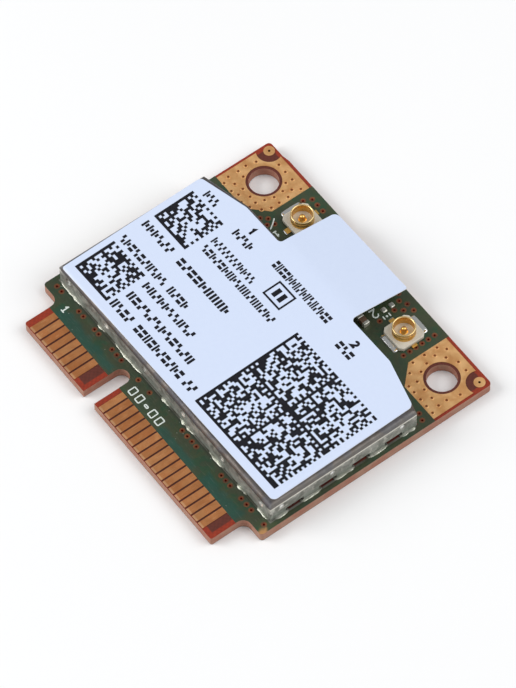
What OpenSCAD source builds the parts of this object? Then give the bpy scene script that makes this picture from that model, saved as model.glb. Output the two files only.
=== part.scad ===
// Half-height mini PCIe wifi card, component side up.
// The origin is under the middle of the board, on the lowest face. +Y runs from the contacts
// to the screw holes, and a "depth" is a distance measured from the contact edge along +Y.

/* [Board] */
// Width of the board, along X
board_w = 30; // [29.8:0.1:30.6]
// Length of the board, from the contact edge to the back edge
board_l = 26.8; // [26.6:0.1:27.6]
// Thickness of the board over its copper
board_t = 1; // [0.8:0.1:1.2]
// Radius of the back corners
board_corner_r = 0.35; // [0.2:0.05:0.6]
// Width of the shoulders on both sides of the edge connector tab
shoulder_w = 2.15; // [2:0.05:2.3]
// Length of the tab, from its front edge to the shoulders
tab_l = 3.4; // [3.2:0.1:3.6]
// Radius of the two inner corners between tab and shoulders
shoulder_r = 0.75; // [0.4:0.05:0.9]
// Width of the key notch
notch_w = 1.5; // [1.3:0.1:1.6]
// Depth of the key notch, over its round end
notch_l = 3.95; // [3.5:0.05:4]
// Place of the key notch, from the middle of the tab
notch_x = -3.85; // [-3.9:0.01:-3.8]
// Radius of the two screw holes
hole_r = 1.3; // [1.1:0.05:1.4]
// Distance of the screw holes from the side edges and the back edge
hole_inset = 2.9; // [2.8:0.05:3]
// Height of the step in the back edge where the card broke off its panel
edge_step = 0.13; // [0.05:0.01:0.2]

/* [Copper and solder mask] */
// Thickness of the outer copper
copper_t = 0.04; // [0.03:0.005:0.06]
// Thickness of the solder mask
mask_t = 0.03; // [0.02:0.005:0.03]
// Depth at which the solder mask starts behind the contacts
mask_start = 2.48; // [2.3:0.02:2.6]
// Radius of a via's hole
via_hole_r = 0.11; // [0.08:0.01:0.13]
// Wall of a via's plating
via_wall = 0.05; // [0.03:0.01:0.06]
// Radius of the copper ring round a board via
via_ring_r = 0.25; // [0.22:0.01:0.28]

/* [Edge contacts] */
// Width of one contact
contact_w = 0.63; // [0.5:0.01:0.68]
// Distance from one contact to the next
contact_pitch = 0.8; // [0.78:0.01:0.81]
// Gap between the front edge and a contact's tip
contact_tip_gap = 0.06; // [0.02:0.01:0.2]
// Distance from the left side of the tab to the middle of the first contact
contact_side_gap = 0.97; // [0.9:0.01:1]
// Distance between the contacts on both sides of the notch
group_gap = 4; // [3.95:0.01:4.05]
// Sideways shift of the contacts on the underside
underside_shift = 0.4; // [0.3:0.05:0.5]

/* [Mounting pads] */
// Width of a mounting pad
pad_w = 5.5; // [5.2:0.1:5.6]
// Length of a mounting pad
pad_l = 5.52; // [5.3:0.02:5.6]
// Bare border between a pad and the board's side edge
pad_side_gap = 0.23; // [0.1:0.01:0.3]
// Bare border between a pad and the board's back edge
pad_back_gap = 0.3; // [0.2:0.01:0.4]
// Size of the cut-off inner corner
pad_chamfer = 1.65; // [1.2:0.05:1.9]
// Bare ring round a screw hole
hole_ring = 0.24; // [0.1:0.02:0.3]
// Radius of the round test pad in the corner
test_pad_r = 0.49; // [0.3:0.01:0.55]
// Radius of the bare circle round the test pad
test_clear_r = 1.13; // [0.9:0.01:1.2]
// Distance of the test pad from the side edge and the back edge
test_pad_inset = 0.73; // [0.65:0.01:0.8]

/* [Shield] */
// Gap between the shield lid and the board's side edges
can_side_gap = 0.55; // [0.5:0.05:0.8]
// Depth of the lid's front wall
can_front = 4.75; // [4.7:0.05:5]
// Distance of the lid's back wall from the board's back edge
can_back_gap = 6.15; // [6.1:0.05:6.4]
// How much the lid's back corners are cut back from its back wall
can_corner_cut = 1.15; // [0.8:0.05:1.3]
// Width of each cut back corner
can_corner_w = 4.75; // [4:0.05:5]
// Height of the shield above the board
can_h = 2.2; // [2.1:0.05:2.4]
// Sheet thickness of the lid
lid_t = 0.15; // [0.1:0.01:0.2]
// Outer radius of the lid's bent edges
lid_bend_r = 0.36; // [0.25:0.01:0.5]
// Gap under the lid's walls
skirt_gap = 0.12; // [0.08:0.01:0.2]
// Radius of the sphere that presses a dimple
dimple_r = 0.5; // [0.4:0.02:0.6]
// Depth of a dimple
dimple_depth = 0.14; // [0.08:0.01:0.15]
// Height of the dimples above the board
dimple_h = 1.2; // [1:0.05:1.4]
// Distance of the outer dimples from the lid's front corners
dimple_side_gap = 1.25; // [1.1:0.05:1.6]
// Sheet thickness of the frame
frame_t = 0.2; // [0.15:0.01:0.25]
// Gap between the frame and the lid's walls
frame_gap = 0.03; // [0.02:0.01:0.05]
// Width of the frame's top rim
frame_rim = 0.9; // [0.6:0.05:1.1]
// Width of the bar across the frame
frame_bar_w = 2.4; // [1.6:0.1:3]
// Width of a window in the side walls
window_w = 1.78; // [1.4:0.02:2]
// Height of a window in the side walls
window_h = 0.54; // [0.4:0.02:0.7]
// Distance from the lid's front wall to the middle of the first window
window_front_gap = 2.45; // [2.2:0.05:2.6]
// Distance from the back end of a side wall to the middle of its last window
window_back_gap = 2.35; // [2.2:0.05:2.6]
// Width of the copper land under the frame
land_w = 0.8; // [0.5:0.05:0.9]
// Height of a solder joint on the frame's outside
solder_h = 0.3; // [0.2:0.02:0.5]
// Spread of a solder joint on the board
solder_spread = 0.32; // [0.26:0.01:0.36]

/* [Label] */
// Thickness of the label
label_t = 0.08; // [0.05:0.01:0.12]
// Distance from the lid's side walls to the label
label_side_gap = 0.45; // [0.4:0.05:0.8]
// Distance from the lid's front wall to the label
label_front_gap = 0.5; // [0.4:0.05:0.8]
// Distance from the label's shoulders to the lid's back wall
label_back_gap = 0.15; // [0.1:0.05:0.3]
// Gap between the tongue and the shells of the sockets, seen from above
tongue_gap = 1.17; // [1:0.01:1.6]
// Place of the tongue, from the middle of the label
tongue_x = -0.3; // [-0.4:0.05:0.3]
// Gap between the tongue's end and the board's back edge
tongue_end_gap = 0.5; // [0.4:0.05:1.2]
// Angle at which the tongue droops
tongue_droop = 10.5; // [4:0.5:12]
// Radius of the bend where the tongue starts to droop
tongue_bend_r = 6; // [3:0.5:9]
// Angle by which the label was stuck on askew
label_turn = 0.95; // [0:0.05:1]
// Thickness of the printed ink
ink_t = 0.01; // [0.01:0.005:0.02]

/* [Antenna sockets] */
// Gap between a mounting pad and the base of the socket beside it
socket_pad_gap = 1.05; // [0.9:0.05:1.2]
// Distance of the sockets from the back edge
socket_inset = 2.8; // [2.7:0.05:3]
// Side of a socket's moulded base
socket_base_w = 2.65; // [2.5:0.05:2.8]
// Height of the base
socket_base_h = 0.4; // [0.35:0.05:0.5]
// Chamfer of the base's corners
socket_chamfer = 0.32; // [0.2:0.02:0.4]
// Height of a socket
socket_h = 1.25; // [1.1:0.05:1.3]
// Outer radius of the shell
shell_r = 1; // [0.9:0.02:1.1]
// Wall of the shell
shell_t = 0.16; // [0.1:0.01:0.18]
// Width of the shell's two ground legs
leg_w = 1.8; // [1.4:0.1:1.9]
// How far the ground legs stand out of the base
leg_reach = 0.3; // [0.2:0.05:0.4]
// Thickness of the legs and of the contact strip
strip_t = 0.12; // [0.1:0.01:0.15]
// Width of the contact strip
strip_w = 0.5; // [0.4:0.05:0.6]
// How far the signal tab stands out of the base
signal_reach = 0.42; // [0.3:0.02:0.5]
// How far the cut-off stub stands out of the base
stub_reach = 0.26; // [0.15:0.01:0.3]
// Radius of the centre pin
pin_r = 0.24; // [0.2:0.01:0.28]
// Gap between the tip of the pin and the shell's rim
pin_drop = 0.22; // [0.15:0.01:0.4]

/* [Chips under the shield] */
// Side of the radio chip
radio_w = 9; // [8:0.25:9.25]
// Height of the radio chip
radio_h = 0.85; // [0.7:0.05:1.2]
// Leads on each side of the radio chip
radio_leads = 17; // [11:2:17]
// Side of a front-end module
front_end_w = 4; // [3.5:0.1:4.2]
// Height of a front-end module
front_end_h = 0.9; // [0.7:0.05:1.2]
// Length of the crystal
crystal_l = 3.2; // [2.8:0.1:3.4]
// Width of the crystal
crystal_w = 2.5; // [2:0.1:2.7]
// Height of the crystal
crystal_h = 0.8; // [0.6:0.05:1]
// Length of the memory chip
memory_l = 3; // [2.6:0.1:3.2]
// Width of the memory chip
memory_w = 2.4; // [2:0.1:2.6]
// Side of the regulator chip
regulator_w = 3; // [2.6:0.1:3.2]
// Height of the memory and regulator chips
small_chip_h = 0.75; // [0.6:0.05:1]
// Side of the power inductor
inductor_w = 3; // [2.6:0.1:3.2]
// Height of the power inductor
inductor_h = 1.2; // [1:0.05:1.5]
// Length of a bulk capacitor
bulk_l = 3.2; // [2.6:0.1:3.2]
// Width of a bulk capacitor
bulk_w = 1.6; // [1.2:0.1:1.7]
// Height of a bulk capacitor
bulk_h = 1.4; // [0.8:0.05:1.6]
// Length of a radio filter
filter_l = 1.6; // [1.4:0.1:1.7]
// Width of a radio filter
filter_w = 0.8; // [0.6:0.05:0.9]
// Height of a radio filter
filter_h = 0.6; // [0.4:0.05:0.8]
// Length of the capacitor by the right socket
side_capacitor_l = 1.1; // [0.9:0.05:1.15]
// Width of the capacitor by the right socket
side_capacitor_w = 0.6; // [0.45:0.05:0.65]
// Length of a small chip part
chip_l = 1; // [0.9:0.05:1.1]
// Width of a small chip part
chip_w = 0.5; // [0.45:0.05:0.6]
// Height of a small chip part
chip_h = 0.5; // [0.35:0.05:0.6]
// Length of a metal end on a small chip part
chip_end = 0.25; // [0.2:0.05:0.3]

/* [Hidden] */
$fn = 32;

// Colours
LAMINATE = "#8a3a2a";
MASK = "#2f4a35";
COPPER = "#b87a48";
PAD_COPPER = "#c08a52";
RING = "#6b4a35";
STEEL = "#8b8780";
SOLDER = "#c9c9c4";
LABEL = "#d6e1f8";
INK = "#202328";
GOLD = "#c79a4a";
CREAM = "#e4dfd2";
CHIP = "#2b2b2e";
CERAMIC = "#8a6a50";
SILK = "#dfe6e2";

// Derived heights
laminate_low = copper_t;
laminate_top = board_t - copper_t;
mask_top = laminate_top + mask_t;
can_top = board_t + can_h;
lid_inside = can_top - lid_t;
label_top = can_top + label_t;
via_plate_r = via_hole_r + via_wall;
big = 2 * board_w;

// Derived places
tab_w = board_w - 2 * shoulder_w;
hole_x = board_w / 2 - hole_inset;
hole_depth = board_l - hole_inset;
socket_depth = board_l - socket_inset;
can_half = board_w / 2 - can_side_gap;
can_back = board_l - can_back_gap;
can_mid = (can_front + can_back) / 2;
can_l = can_back - can_front;
side_back = can_back - can_corner_cut;
frame_out = lid_t + frame_gap;
room_half = can_half - frame_out - frame_t;
room_deep = can_l / 2 - frame_out - frame_t;
pad_outer = board_w / 2 - pad_side_gap;
pad_inner = pad_outer - pad_w;
pad_back = board_l - pad_back_gap;
pad_front = pad_back - pad_l;
test_pad_x = board_w / 2 - test_pad_inset;
test_pad_depth = board_l - test_pad_inset;
contact_l = mask_start - contact_tip_gap;
socket_x = pad_inner - socket_pad_gap - socket_base_w / 2;

// The two groups of contacts fill the tab on both sides of the notch
notch_contact_gap = 1.2;
first_contact = contact_side_gap - tab_w / 2;
left_room = notch_x - notch_w / 2 - notch_contact_gap - first_contact;
left_contacts = 1 + floor(left_room / contact_pitch);
right_first_contact = first_contact + (left_contacts - 1) * contact_pitch + group_gap;
right_room = tab_w / 2 - underside_shift - contact_side_gap - right_first_contact;
right_contacts = 1 + floor(right_room / contact_pitch);

// Stitching vias of the mounting pads, measured from the screw hole, in rows from back to front:
// each row is its place along Y and then the places along X
left_stitches = [
  [1.97, [-0.55, 0.35, 1.3, 2.5]], [1.33, [1.25, 2.1]], [0.65, [-1.95, 1.75, 2.5]],
  [-0.28, [-2.15, 1.8, 2.5]], [-1.1, [-2.1, -1.4, 1.55, 2.5]],
  [-1.85, [-0.45, 0.55, 1.3, 2.15]], [-2.1, [-2.15, -1.25]], [-2.5, [-0.2, 1.35]],
  [-2.75, [-1.85, -0.85, 0.55]]
];
right_stitches = [
  [2, [-1.95, -0.4, 0.6]], [1.45, [-2.55, -1.35]], [0.85, [-2.05]], [0.2, [-2.6, 2.15]],
  [-0.15, [-1.85]], [-1, [-2.6, -1.5, 1.9]], [-1.83, [-1.95, -0.95, 0, 1, 1.9]],
  [-2.65, [-1, -0.3, 0.55, 1.35, 2.15]]
];

// Board vias outside the shield: the row behind the contacts, in shares of half the board's
// width, then a pair by the shield's back corner and groups by the sockets
front_vias = [
  -0.942, -0.899, -0.737, -0.695, -0.59, -0.552, -0.427, -0.383, -0.34, -0.183, -0.081,
  0.22, 0.265, 0.307, 0.347, 0.573, 0.613, 0.653, 0.753, 0.8, 0.843, 0.955
];
front_via_depth = can_front - 0.57;
corner_vias = [[board_w / 2 - 1.35, can_back - 0.28], [board_w / 2 - 0.7, can_back - 0.48]];
// Measured from the left socket
left_socket_vias = [
  [-1.3, 2], [-0.6, 2], [0.15, 2], [-1.65, 1.3], [-2.45, -2.55], [-1.55, -2.5], [-2, -2.05],
  [-1.25, -1.95]
];
// Measured from the right socket
right_socket_vias = [
  [-3.4, 2.05], [-2.8, 1.65], [-2.15, 2], [-1.35, 2.05], [-1.85, 1.37], [-2.33, 0.8],
  [-2.2, -0.8]
];
fence_via_gap = socket_base_w / 2 + 0.28;
fence_via_pitch = 0.64;
fence_via_span = [-2:3];

// Solder joints along the front of the shield: place of the middle, and length, both in shares
// of half the lid's width
front_joint_shares = [
  [-0.879, 0.235], [-0.595, 0.076], [-0.336, 0.263], [0.021, 0.083], [0.225, 0.145],
  [0.498, 0.138], [0.737, 0.09], [0.931, 0.104]
];
front_joints = can_half * front_joint_shares;
front_dimples = 6;
dimple_pitch = 2 * (can_half - dimple_side_gap) / (front_dimples - 1);
side_dimples = [can_front + 1.18, can_front + 6.25, side_back - 1.44];
side_window_count = 4;
window_pitch = (side_back - can_front - window_front_gap - window_back_gap) / (side_window_count - 1);
first_window = can_front + window_front_gap;

function from_edge(depth) = depth - board_l / 2;
function unit(v) = v / norm(v);
function wrap(list, i) = list[(i + len(list)) % len(list)];
function flat(p) = [p.x, p.y];

// The points of one corner b between a and c, as an arc of radius r in n steps
function corner_arc(a, b, c, r, n) =
  r <= 0 ? [b] :
  let (
    u = unit(a - b),
    w = unit(c - b),
    half = acos(u * w) / 2,
    centre = b + unit(u + w) * r / sin(half),
    start = b + u * r / tan(half) - centre,
    finish = b + w * r / tan(half) - centre,
    from = atan2(start.y, start.x),
    swing = atan2(finish.y, finish.x) - from,
    turn = swing > 180 ? swing - 360 : swing < -180 ? swing + 360 : swing
  )
  [for (i = [0:n]) centre + r * [cos(from + turn * i / n), sin(from + turn * i / n)]];

// A polygon of [x, y, radius] points with its corners rounded
function rounded(points, n = 6) = [
  for (i = [0:len(points) - 1])
    each corner_arc(
      flat(wrap(points, i - 1)), flat(points[i]), flat(wrap(points, i + 1)), points[i].z, n
    )
];

// The shield's six walls, each as the direction it faces and its distance from the middle
cut_angle = 90 - atan2(can_corner_cut, can_corner_w);
cut_reach = (can_half - can_corner_w) * cos(cut_angle) + can_l / 2 * sin(cut_angle);
can_walls = [
  [-90, can_l / 2], [0, can_half], [cut_angle, cut_reach], [90, can_l / 2],
  [180 - cut_angle, cut_reach], [180, can_half]
];
function meet(p, q) =
  [p[1] * sin(q[0]) - q[1] * sin(p[0]), q[1] * cos(p[0]) - p[1] * cos(q[0])]
  / sin(q[0] - p[0]);
function can_points(inset) = [
  for (i = [0:len(can_walls) - 1])
    let (p = can_walls[i], q = wrap(can_walls, i + 1))
    meet([p[0], p[1] - inset], [q[0], q[1] - inset])
];

// Places on the board

module at(x, depth, z = 0) {
  translate([x, from_edge(depth), z]) children();
}

module at_holes() {
  for (side = [-1, 1]) translate([side * hole_x, from_edge(hole_depth)]) children();
}

module at_stitches(rows, side) {
  translate([side * hole_x, from_edge(hole_depth)])
    for (row = rows)
      for (x = row[1])
        translate([x, row[0]]) children();
}

module at_test_pads() {
  for (side = [-1, 1]) translate([side * test_pad_x, from_edge(test_pad_depth)]) children();
}

module at_board_vias() {
  for (share = front_vias) at(share * board_w / 2, front_via_depth) children();
  for (p = corner_vias) at(p.x, p.y) children();
  for (p = left_socket_vias) at(-socket_x + p.x, socket_depth + p.y) children();
  for (p = right_socket_vias) at(socket_x + p.x, socket_depth + p.y) children();
  for (i = fence_via_span) at(socket_x + fence_via_gap, socket_depth + i * fence_via_pitch) children();
}

module at_all_vias() {
  at_stitches(left_stitches, -1) children();
  at_stitches(right_stitches, 1) children();
  at_test_pads() children();
  at_board_vias() children();
}

// Board

module board_outline() {
  shoulder_corner_r = 0.3;
  tab_corner_r = 0.2;
  step_x = hole_x + 0.35;
  step_run = 0.7;
  difference() {
    polygon(rounded([
      [-tab_w / 2, from_edge(0), tab_corner_r],
      [tab_w / 2, from_edge(0), tab_corner_r],
      [tab_w / 2, from_edge(tab_l), shoulder_r],
      [board_w / 2, from_edge(tab_l), shoulder_corner_r],
      [board_w / 2, from_edge(board_l), board_corner_r],
      [-step_x, from_edge(board_l), 0],
      [-step_x - step_run, from_edge(board_l - edge_step), 0],
      [-board_w / 2, from_edge(board_l - edge_step), board_corner_r],
      [-board_w / 2, from_edge(tab_l), shoulder_corner_r],
      [-tab_w / 2, from_edge(tab_l), shoulder_r]
    ]));
    key_notch();
    at_holes() circle(hole_r);
  }
}

module key_notch() {
  round_depth = notch_l - notch_w / 2;
  translate([notch_x - notch_w / 2, from_edge(-1)]) square([notch_w, round_depth + 1]);
  translate([notch_x, from_edge(round_depth)]) circle(notch_w / 2);
}

module laminate_board() {
  color(LAMINATE)
    translate([0, 0, laminate_low])
      difference() {
        linear_extrude(laminate_top - laminate_low) board_outline();
        at_all_vias() translate([0, 0, -1]) cylinder(h = board_t + 2, r = via_plate_r);
      }
}

// The corner zones where the mask is left off, out to the board's edges
module bare_corners() {
  for (side = [-1, 1])
    mirror([side < 0 ? 1 : 0, 0])
      polygon([
        [pad_inner, from_edge(board_l + 1)], [board_w, from_edge(board_l + 1)],
        [board_w, from_edge(pad_front)], [pad_inner + pad_chamfer, from_edge(pad_front)],
        [pad_inner, from_edge(pad_front + pad_chamfer)]
      ]);
}

module mask_outline() {
  difference() {
    intersection() {
      board_outline();
      translate([-big, from_edge(mask_start)]) square([2 * big, 2 * big]);
    }
    bare_corners();
  }
}

module solder_mask_top() {
  color(MASK)
    translate([0, 0, laminate_top])
      difference() {
        linear_extrude(mask_t)
          difference() {
            mask_outline();
            land_outline();
            spare_land_outline();
          }
        at_board_vias() translate([0, 0, -1]) cylinder(h = 2, r = via_ring_r);
      }
}

module solder_mask_bottom() {
  color(MASK)
    translate([0, 0, laminate_low - mask_t])
      difference() {
        linear_extrude(mask_t) mask_outline();
        at_board_vias() translate([0, 0, -1]) cylinder(h = 2, r = via_ring_r);
      }
}

// Copper

module contact_row(shift) {
  for (i = [0:left_contacts - 1]) contact(first_contact + shift + i * contact_pitch);
  for (i = [0:right_contacts - 1]) contact(right_first_contact + shift + i * contact_pitch);
}

module contact(x) {
  translate([x - contact_w / 2, from_edge(contact_tip_gap), 0])
    cube([contact_w, contact_l, copper_t]);
}

module edge_contacts_top() {
  color(COPPER) translate([0, 0, laminate_top]) contact_row(0);
}

module edge_contacts_bottom() {
  color(COPPER) contact_row(underside_shift);
}

module pad_outline() {
  difference() {
    polygon([
      [pad_inner, from_edge(pad_back)], [pad_outer, from_edge(pad_back)],
      [pad_outer, from_edge(pad_front)], [pad_inner + pad_chamfer, from_edge(pad_front)],
      [pad_inner, from_edge(pad_front + pad_chamfer)]
    ]);
    at_holes() circle(hole_r + hole_ring);
    at_test_pads() circle(test_clear_r);
  }
}

module mounting_pad(side, rows) {
  color(PAD_COPPER)
    difference() {
      union() {
        for (z = [0, laminate_top])
          translate([0, 0, z])
            linear_extrude(copper_t)
              mirror([side < 0 ? 1 : 0, 0]) pad_outline();
        at_stitches(rows, side) cylinder(h = board_t, r = via_plate_r);
      }
      at_stitches(rows, side) translate([0, 0, -1]) cylinder(h = board_t + 2, r = via_hole_r);
    }
}

module mounting_pad_left() {
  mounting_pad(-1, left_stitches);
}

module mounting_pad_right() {
  mounting_pad(1, right_stitches);
}

module plated_via(ring_r, low, high, ring_t) {
  difference() {
    union() {
      translate([0, 0, low]) cylinder(h = high - low, r = via_plate_r);
      translate([0, 0, low]) cylinder(h = ring_t, r = ring_r);
      translate([0, 0, high - ring_t]) cylinder(h = ring_t, r = ring_r);
    }
    translate([0, 0, -1]) cylinder(h = board_t + 2, r = via_hole_r);
  }
}

module corner_test_pads() {
  color(PAD_COPPER) at_test_pads() plated_via(test_pad_r, 0, board_t, copper_t);
}

module board_vias() {
  color(RING)
    at_board_vias() plated_via(via_ring_r, laminate_low - mask_t, mask_top, mask_t);
}

module land_outline() {
  translate([0, from_edge(can_mid)])
    difference() {
      polygon(can_points(frame_out + frame_t / 2 - land_w / 2));
      polygon(can_points(frame_out + frame_t / 2 + land_w / 2));
    }
}

module shield_land() {
  color(COPPER) translate([0, 0, laminate_top]) linear_extrude(copper_t) land_outline();
}

// Two lands with solder on them and no part between, beside the right socket
spare_x = -2.85;
spare_depths = [0.12, 0.92];
spare_w = 0.5;
spare_l = 0.42;

module at_spare_lands() {
  for (d = spare_depths) at(socket_x + spare_x, socket_depth + d) children();
}

module spare_land_outline() {
  at_spare_lands() square([spare_w, spare_l], center = true);
}

module spare_lands() {
  dome_r = 0.3;
  dome_h = 0.16;
  color(SOLDER)
    at_spare_lands()
      translate([0, 0, laminate_top])
        intersection() {
          translate([-spare_w / 2, -spare_l / 2, 0]) cube([spare_w, spare_l, dome_h + mask_t]);
          translate([0, 0, mask_t + dome_h - dome_r]) sphere(dome_r);
        }
}

// Silkscreen marks

module trace(points, w) {
  for (i = [0:len(points) - 1]) translate(points[i]) circle(d = w);
  for (i = [1:len(points) - 1])
    let (a = points[i - 1], b = points[i])
    translate(a) rotate(atan2(b.y - a.y, b.x - a.x)) translate([0, -w / 2]) square([norm(b - a), w]);
}

// Numerals one em high, standing on their foot
one_strokes = [[-0.22, 0.72], [0, 1], [0, 0], [-0.22, 0], [0.22, 0]];
two_strokes = [
  [-0.3, 0.75], [-0.22, 0.92], [0, 1], [0.22, 0.92], [0.3, 0.72], [0.2, 0.48], [-0.3, 0], [0.32, 0]
];

module numeral(strokes, h, w) {
  trace([for (p = strokes) p * (h - w) + [0, w / 2]], w);
}

module by_socket(side, x, y) {
  translate([side * socket_x + x, from_edge(socket_depth) + y]) children();
}

module silkscreen() {
  ink_h = 0.02;
  line_w = 0.11;
  color(SILK)
    translate([0, 0, mask_top])
      linear_extrude(ink_h) {
        at(first_contact, mask_start + 0.57) numeral(one_strokes, 0.75, 0.12);
        by_socket(-1, -0.68, -2.43) rotate(-90) numeral(one_strokes, 0.66, 0.12);
        by_socket(-1, -1.68, -1.67) trace([[0, 0], [0.35, -0.42], [0.62, -0.82]], line_w);
        by_socket(1, -3.48, -0.73) rotate(-90) numeral(two_strokes, 0.92, line_w);
        by_socket(1, -2.22, 0.24) trace([[-0.13, 0], [0.13, 0]], line_w);
        by_socket(1, -2.22, -0.35) trace([[-0.13, 0], [0.13, 0]], line_w);
        by_socket(1, -2.22, -0.05) circle(d = 0.2);
      }
}

// Shield

// A slab with the lid's outline whose top edge is bent with radius r along every wall
module can_slab(inset, low, high, r) {
  translate([0, from_edge(can_mid), 0])
    intersection() {
      translate([0, 0, low]) linear_extrude(high - low) polygon(can_points(inset));
      for_wall(0, inset, high, r);
      for_wall(1, inset, high, r);
      for_wall(2, inset, high, r);
      for_wall(3, inset, high, r);
      for_wall(4, inset, high, r);
      for_wall(5, inset, high, r);
    }
}

// Everything inside one wall and its bent edge
module for_wall(i, inset, high, r) {
  wall = can_walls[i];
  rotate([0, 0, wall[0]])
    translate([wall[1] - inset, 0, high])
      rotate([90, 0, 0])
        linear_extrude(big, center = true)
          difference() {
            translate([-big, -big]) square([big, big]);
            difference() {
              translate([-r, -r]) square([2 * r, 2 * r]);
              translate([-r, -r]) circle(r);
            }
          }
}

// Runs its children at every dimple, with X pointing out of the wall's outer face
module at_dimples() {
  z = board_t + dimple_h;
  for (i = [0:front_dimples - 1]) {
    x = (i - (front_dimples - 1) / 2) * dimple_pitch;
    translate([x, from_edge(can_front), z]) rotate([0, 0, -90]) children();
    if (abs(x) < can_half - can_corner_w - 1)
      translate([x, from_edge(can_back), z]) rotate([0, 0, 90]) children();
  }
  for (d = side_dimples) {
    translate([can_half, from_edge(d), z]) children();
    translate([-can_half, from_edge(d), z]) rotate([0, 0, 180]) children();
  }
}

module side_windows(low, high) {
  for (i = [0:side_window_count - 1])
    translate([-big, from_edge(first_window + i * window_pitch) - window_w / 2, low])
      cube([2 * big, window_w, high - low]);
}

module shield_lid() {
  skirt_low = board_t + skirt_gap;
  color(STEEL)
    difference() {
      union() {
        difference() {
          can_slab(0, skirt_low, can_top, lid_bend_r);
          can_slab(lid_t, skirt_low - 1, lid_inside, lid_bend_r - lid_t);
        }
        intersection() {
          at_dimples() translate([dimple_r - dimple_depth, 0, 0]) sphere(dimple_r + lid_t);
          can_slab(lid_t / 2, skirt_low, lid_inside, lid_bend_r - lid_t);
        }
      }
      at_dimples() translate([dimple_r - dimple_depth, 0, 0]) sphere(dimple_r);
      side_windows(0, board_t + window_h);
    }
}

module shield_frame() {
  hole_play = 0.05;
  bump_reach = dimple_depth - frame_gap;
  dimple_hole_r = sqrt(pow(dimple_r + lid_t, 2) - pow(dimple_r + lid_t - bump_reach, 2)) + hole_play;
  color(STEEL)
    difference() {
      can_slab(frame_out, board_t, lid_inside, lid_bend_r - lid_t);
      can_slab(frame_out + frame_t, board_t - 1, lid_inside - frame_t, 0.05);
      frame_openings();
      at_dimples() rotate([0, 90, 0]) cylinder(h = 2, r = dimple_hole_r, center = true);
      side_windows(0, board_t + window_h);
      front_gaps();
    }
}

// The two openings in the frame's top, on both sides of the bar
module frame_openings() {
  translate([0, from_edge(can_mid), lid_inside - 1])
    linear_extrude(2)
      difference() {
        polygon(can_points(frame_out + frame_rim));
        translate([-frame_bar_w / 2, -big]) square([frame_bar_w, 2 * big]);
      }
}

// Low gaps between the feet along the front and back walls
module front_gaps() {
  for (i = [1:len(front_joints) - 1]) {
    a = front_joints[i - 1];
    b = front_joints[i];
    low = a[0] + a[1] / 2;
    translate([low, -big, board_t - 1]) cube([b[0] - b[1] / 2 - low, 2 * big, 1 + skirt_gap]);
  }
}

// A concave solder joint of length l, on a wall whose frame faces +X at x = 0
module solder_joint(l) {
  rotate([90, 0, 0])
    linear_extrude(l, center = true)
      difference() {
        polygon([
          [0, 0], [solder_spread, 0], [solder_spread, solder_h / 8], [0.04, solder_h], [0, solder_h]
        ]);
        translate([solder_spread + 0.05, solder_h + 0.08]) circle(0.28);
      }
}

module shield_solder() {
  face = frame_out;
  color(SOLDER)
    difference() {
      union() {
        for (joint = front_joints) {
          translate([joint[0], from_edge(can_front + face), board_t])
            rotate([0, 0, -90]) solder_joint(joint[1]);
          if (abs(joint[0]) + joint[1] / 2 < can_half - can_corner_w)
            translate([joint[0], from_edge(can_back - face), board_t])
              rotate([0, 0, 90]) solder_joint(joint[1]);
        }
        for (i = [0:side_window_count])
          for (side = [-1, 1]) {
            start = i == 0 ? can_front + face + solder_spread
              : first_window + (i - 1) * window_pitch + window_w / 2;
            end = i == side_window_count ? side_back - face
              : first_window + i * window_pitch - window_w / 2;
            translate([side * (can_half - face), from_edge((start + end) / 2), board_t])
              rotate([0, 0, side > 0 ? 0 : 180]) solder_joint(end - start);
          }
      }
      translate([0, 0, -1]) can_slab(0, board_t + 1 + skirt_gap, can_top + 2, 0.05);
    }
}

// Label

label_pivot = can_mid;
label_front = can_front + label_front_gap;
label_shoulder = can_back - label_back_gap;
label_l = label_shoulder - label_front;
label_w = 2 * (can_half - label_side_gap);
label_corner_cut = can_corner_cut + 0.05;
label_knee = can_half - can_corner_w - 0.2;
tongue_w = 2 * (socket_x - shell_r - tongue_gap);
tongue_end = board_l - tongue_end_gap;

module on_label() {
  at(0, label_pivot) rotate([0, 0, label_turn]) translate([0, -from_edge(label_pivot)]) children();
}

module label_outline() {
  side_end = label_shoulder - label_corner_cut;
  left = tongue_x - tongue_w / 2;
  right = tongue_x + tongue_w / 2;
  polygon(rounded([
    [-label_w / 2, from_edge(label_front), 0.15],
    [label_w / 2, from_edge(label_front), 0.45],
    [label_w / 2, from_edge(side_end), 0.55],
    [label_knee, from_edge(label_shoulder), 1],
    [right, from_edge(label_shoulder), 0.4],
    [right, from_edge(tongue_end), 0.2],
    [left, from_edge(tongue_end), 0.5],
    [left, from_edge(label_shoulder), 0.4],
    [-label_knee, from_edge(label_shoulder), 1],
    [-label_w / 2, from_edge(side_end), 0.5]
  ]));
}

// The sheet seen from the side: flat on the lid, then bent, then straight down the droop
module label_side() {
  bend_start = from_edge(label_shoulder + 0.05);
  steps = 6;
  r = tongue_bend_r;
  arc = [for (i = [0:steps]) tongue_droop * i / steps];
  fall = [cos(tongue_droop), -sin(tongue_droop)] * board_l;
  upper = [for (a = arc) [bend_start + (r + label_t) * sin(a), (r + label_t) * cos(a) - r]];
  lower = [for (a = arc) [bend_start + r * sin(a), r * cos(a) - r]];
  upper_end = upper[steps] + fall;
  lower_end = lower[steps] + fall;
  polygon(concat(
    [[-big, 0], [-big, label_t]], upper, [upper_end, lower_end],
    [for (i = [steps:-1:0]) lower[i]]
  ));
}

module label() {
  color(LABEL)
    on_label()
      intersection() {
        translate([0, 0, board_t]) linear_extrude(2 * can_h) label_outline();
        translate([0, 0, can_top])
          rotate([90, 0, 90]) linear_extrude(2 * label_w, center = true) label_side();
      }
}

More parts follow.
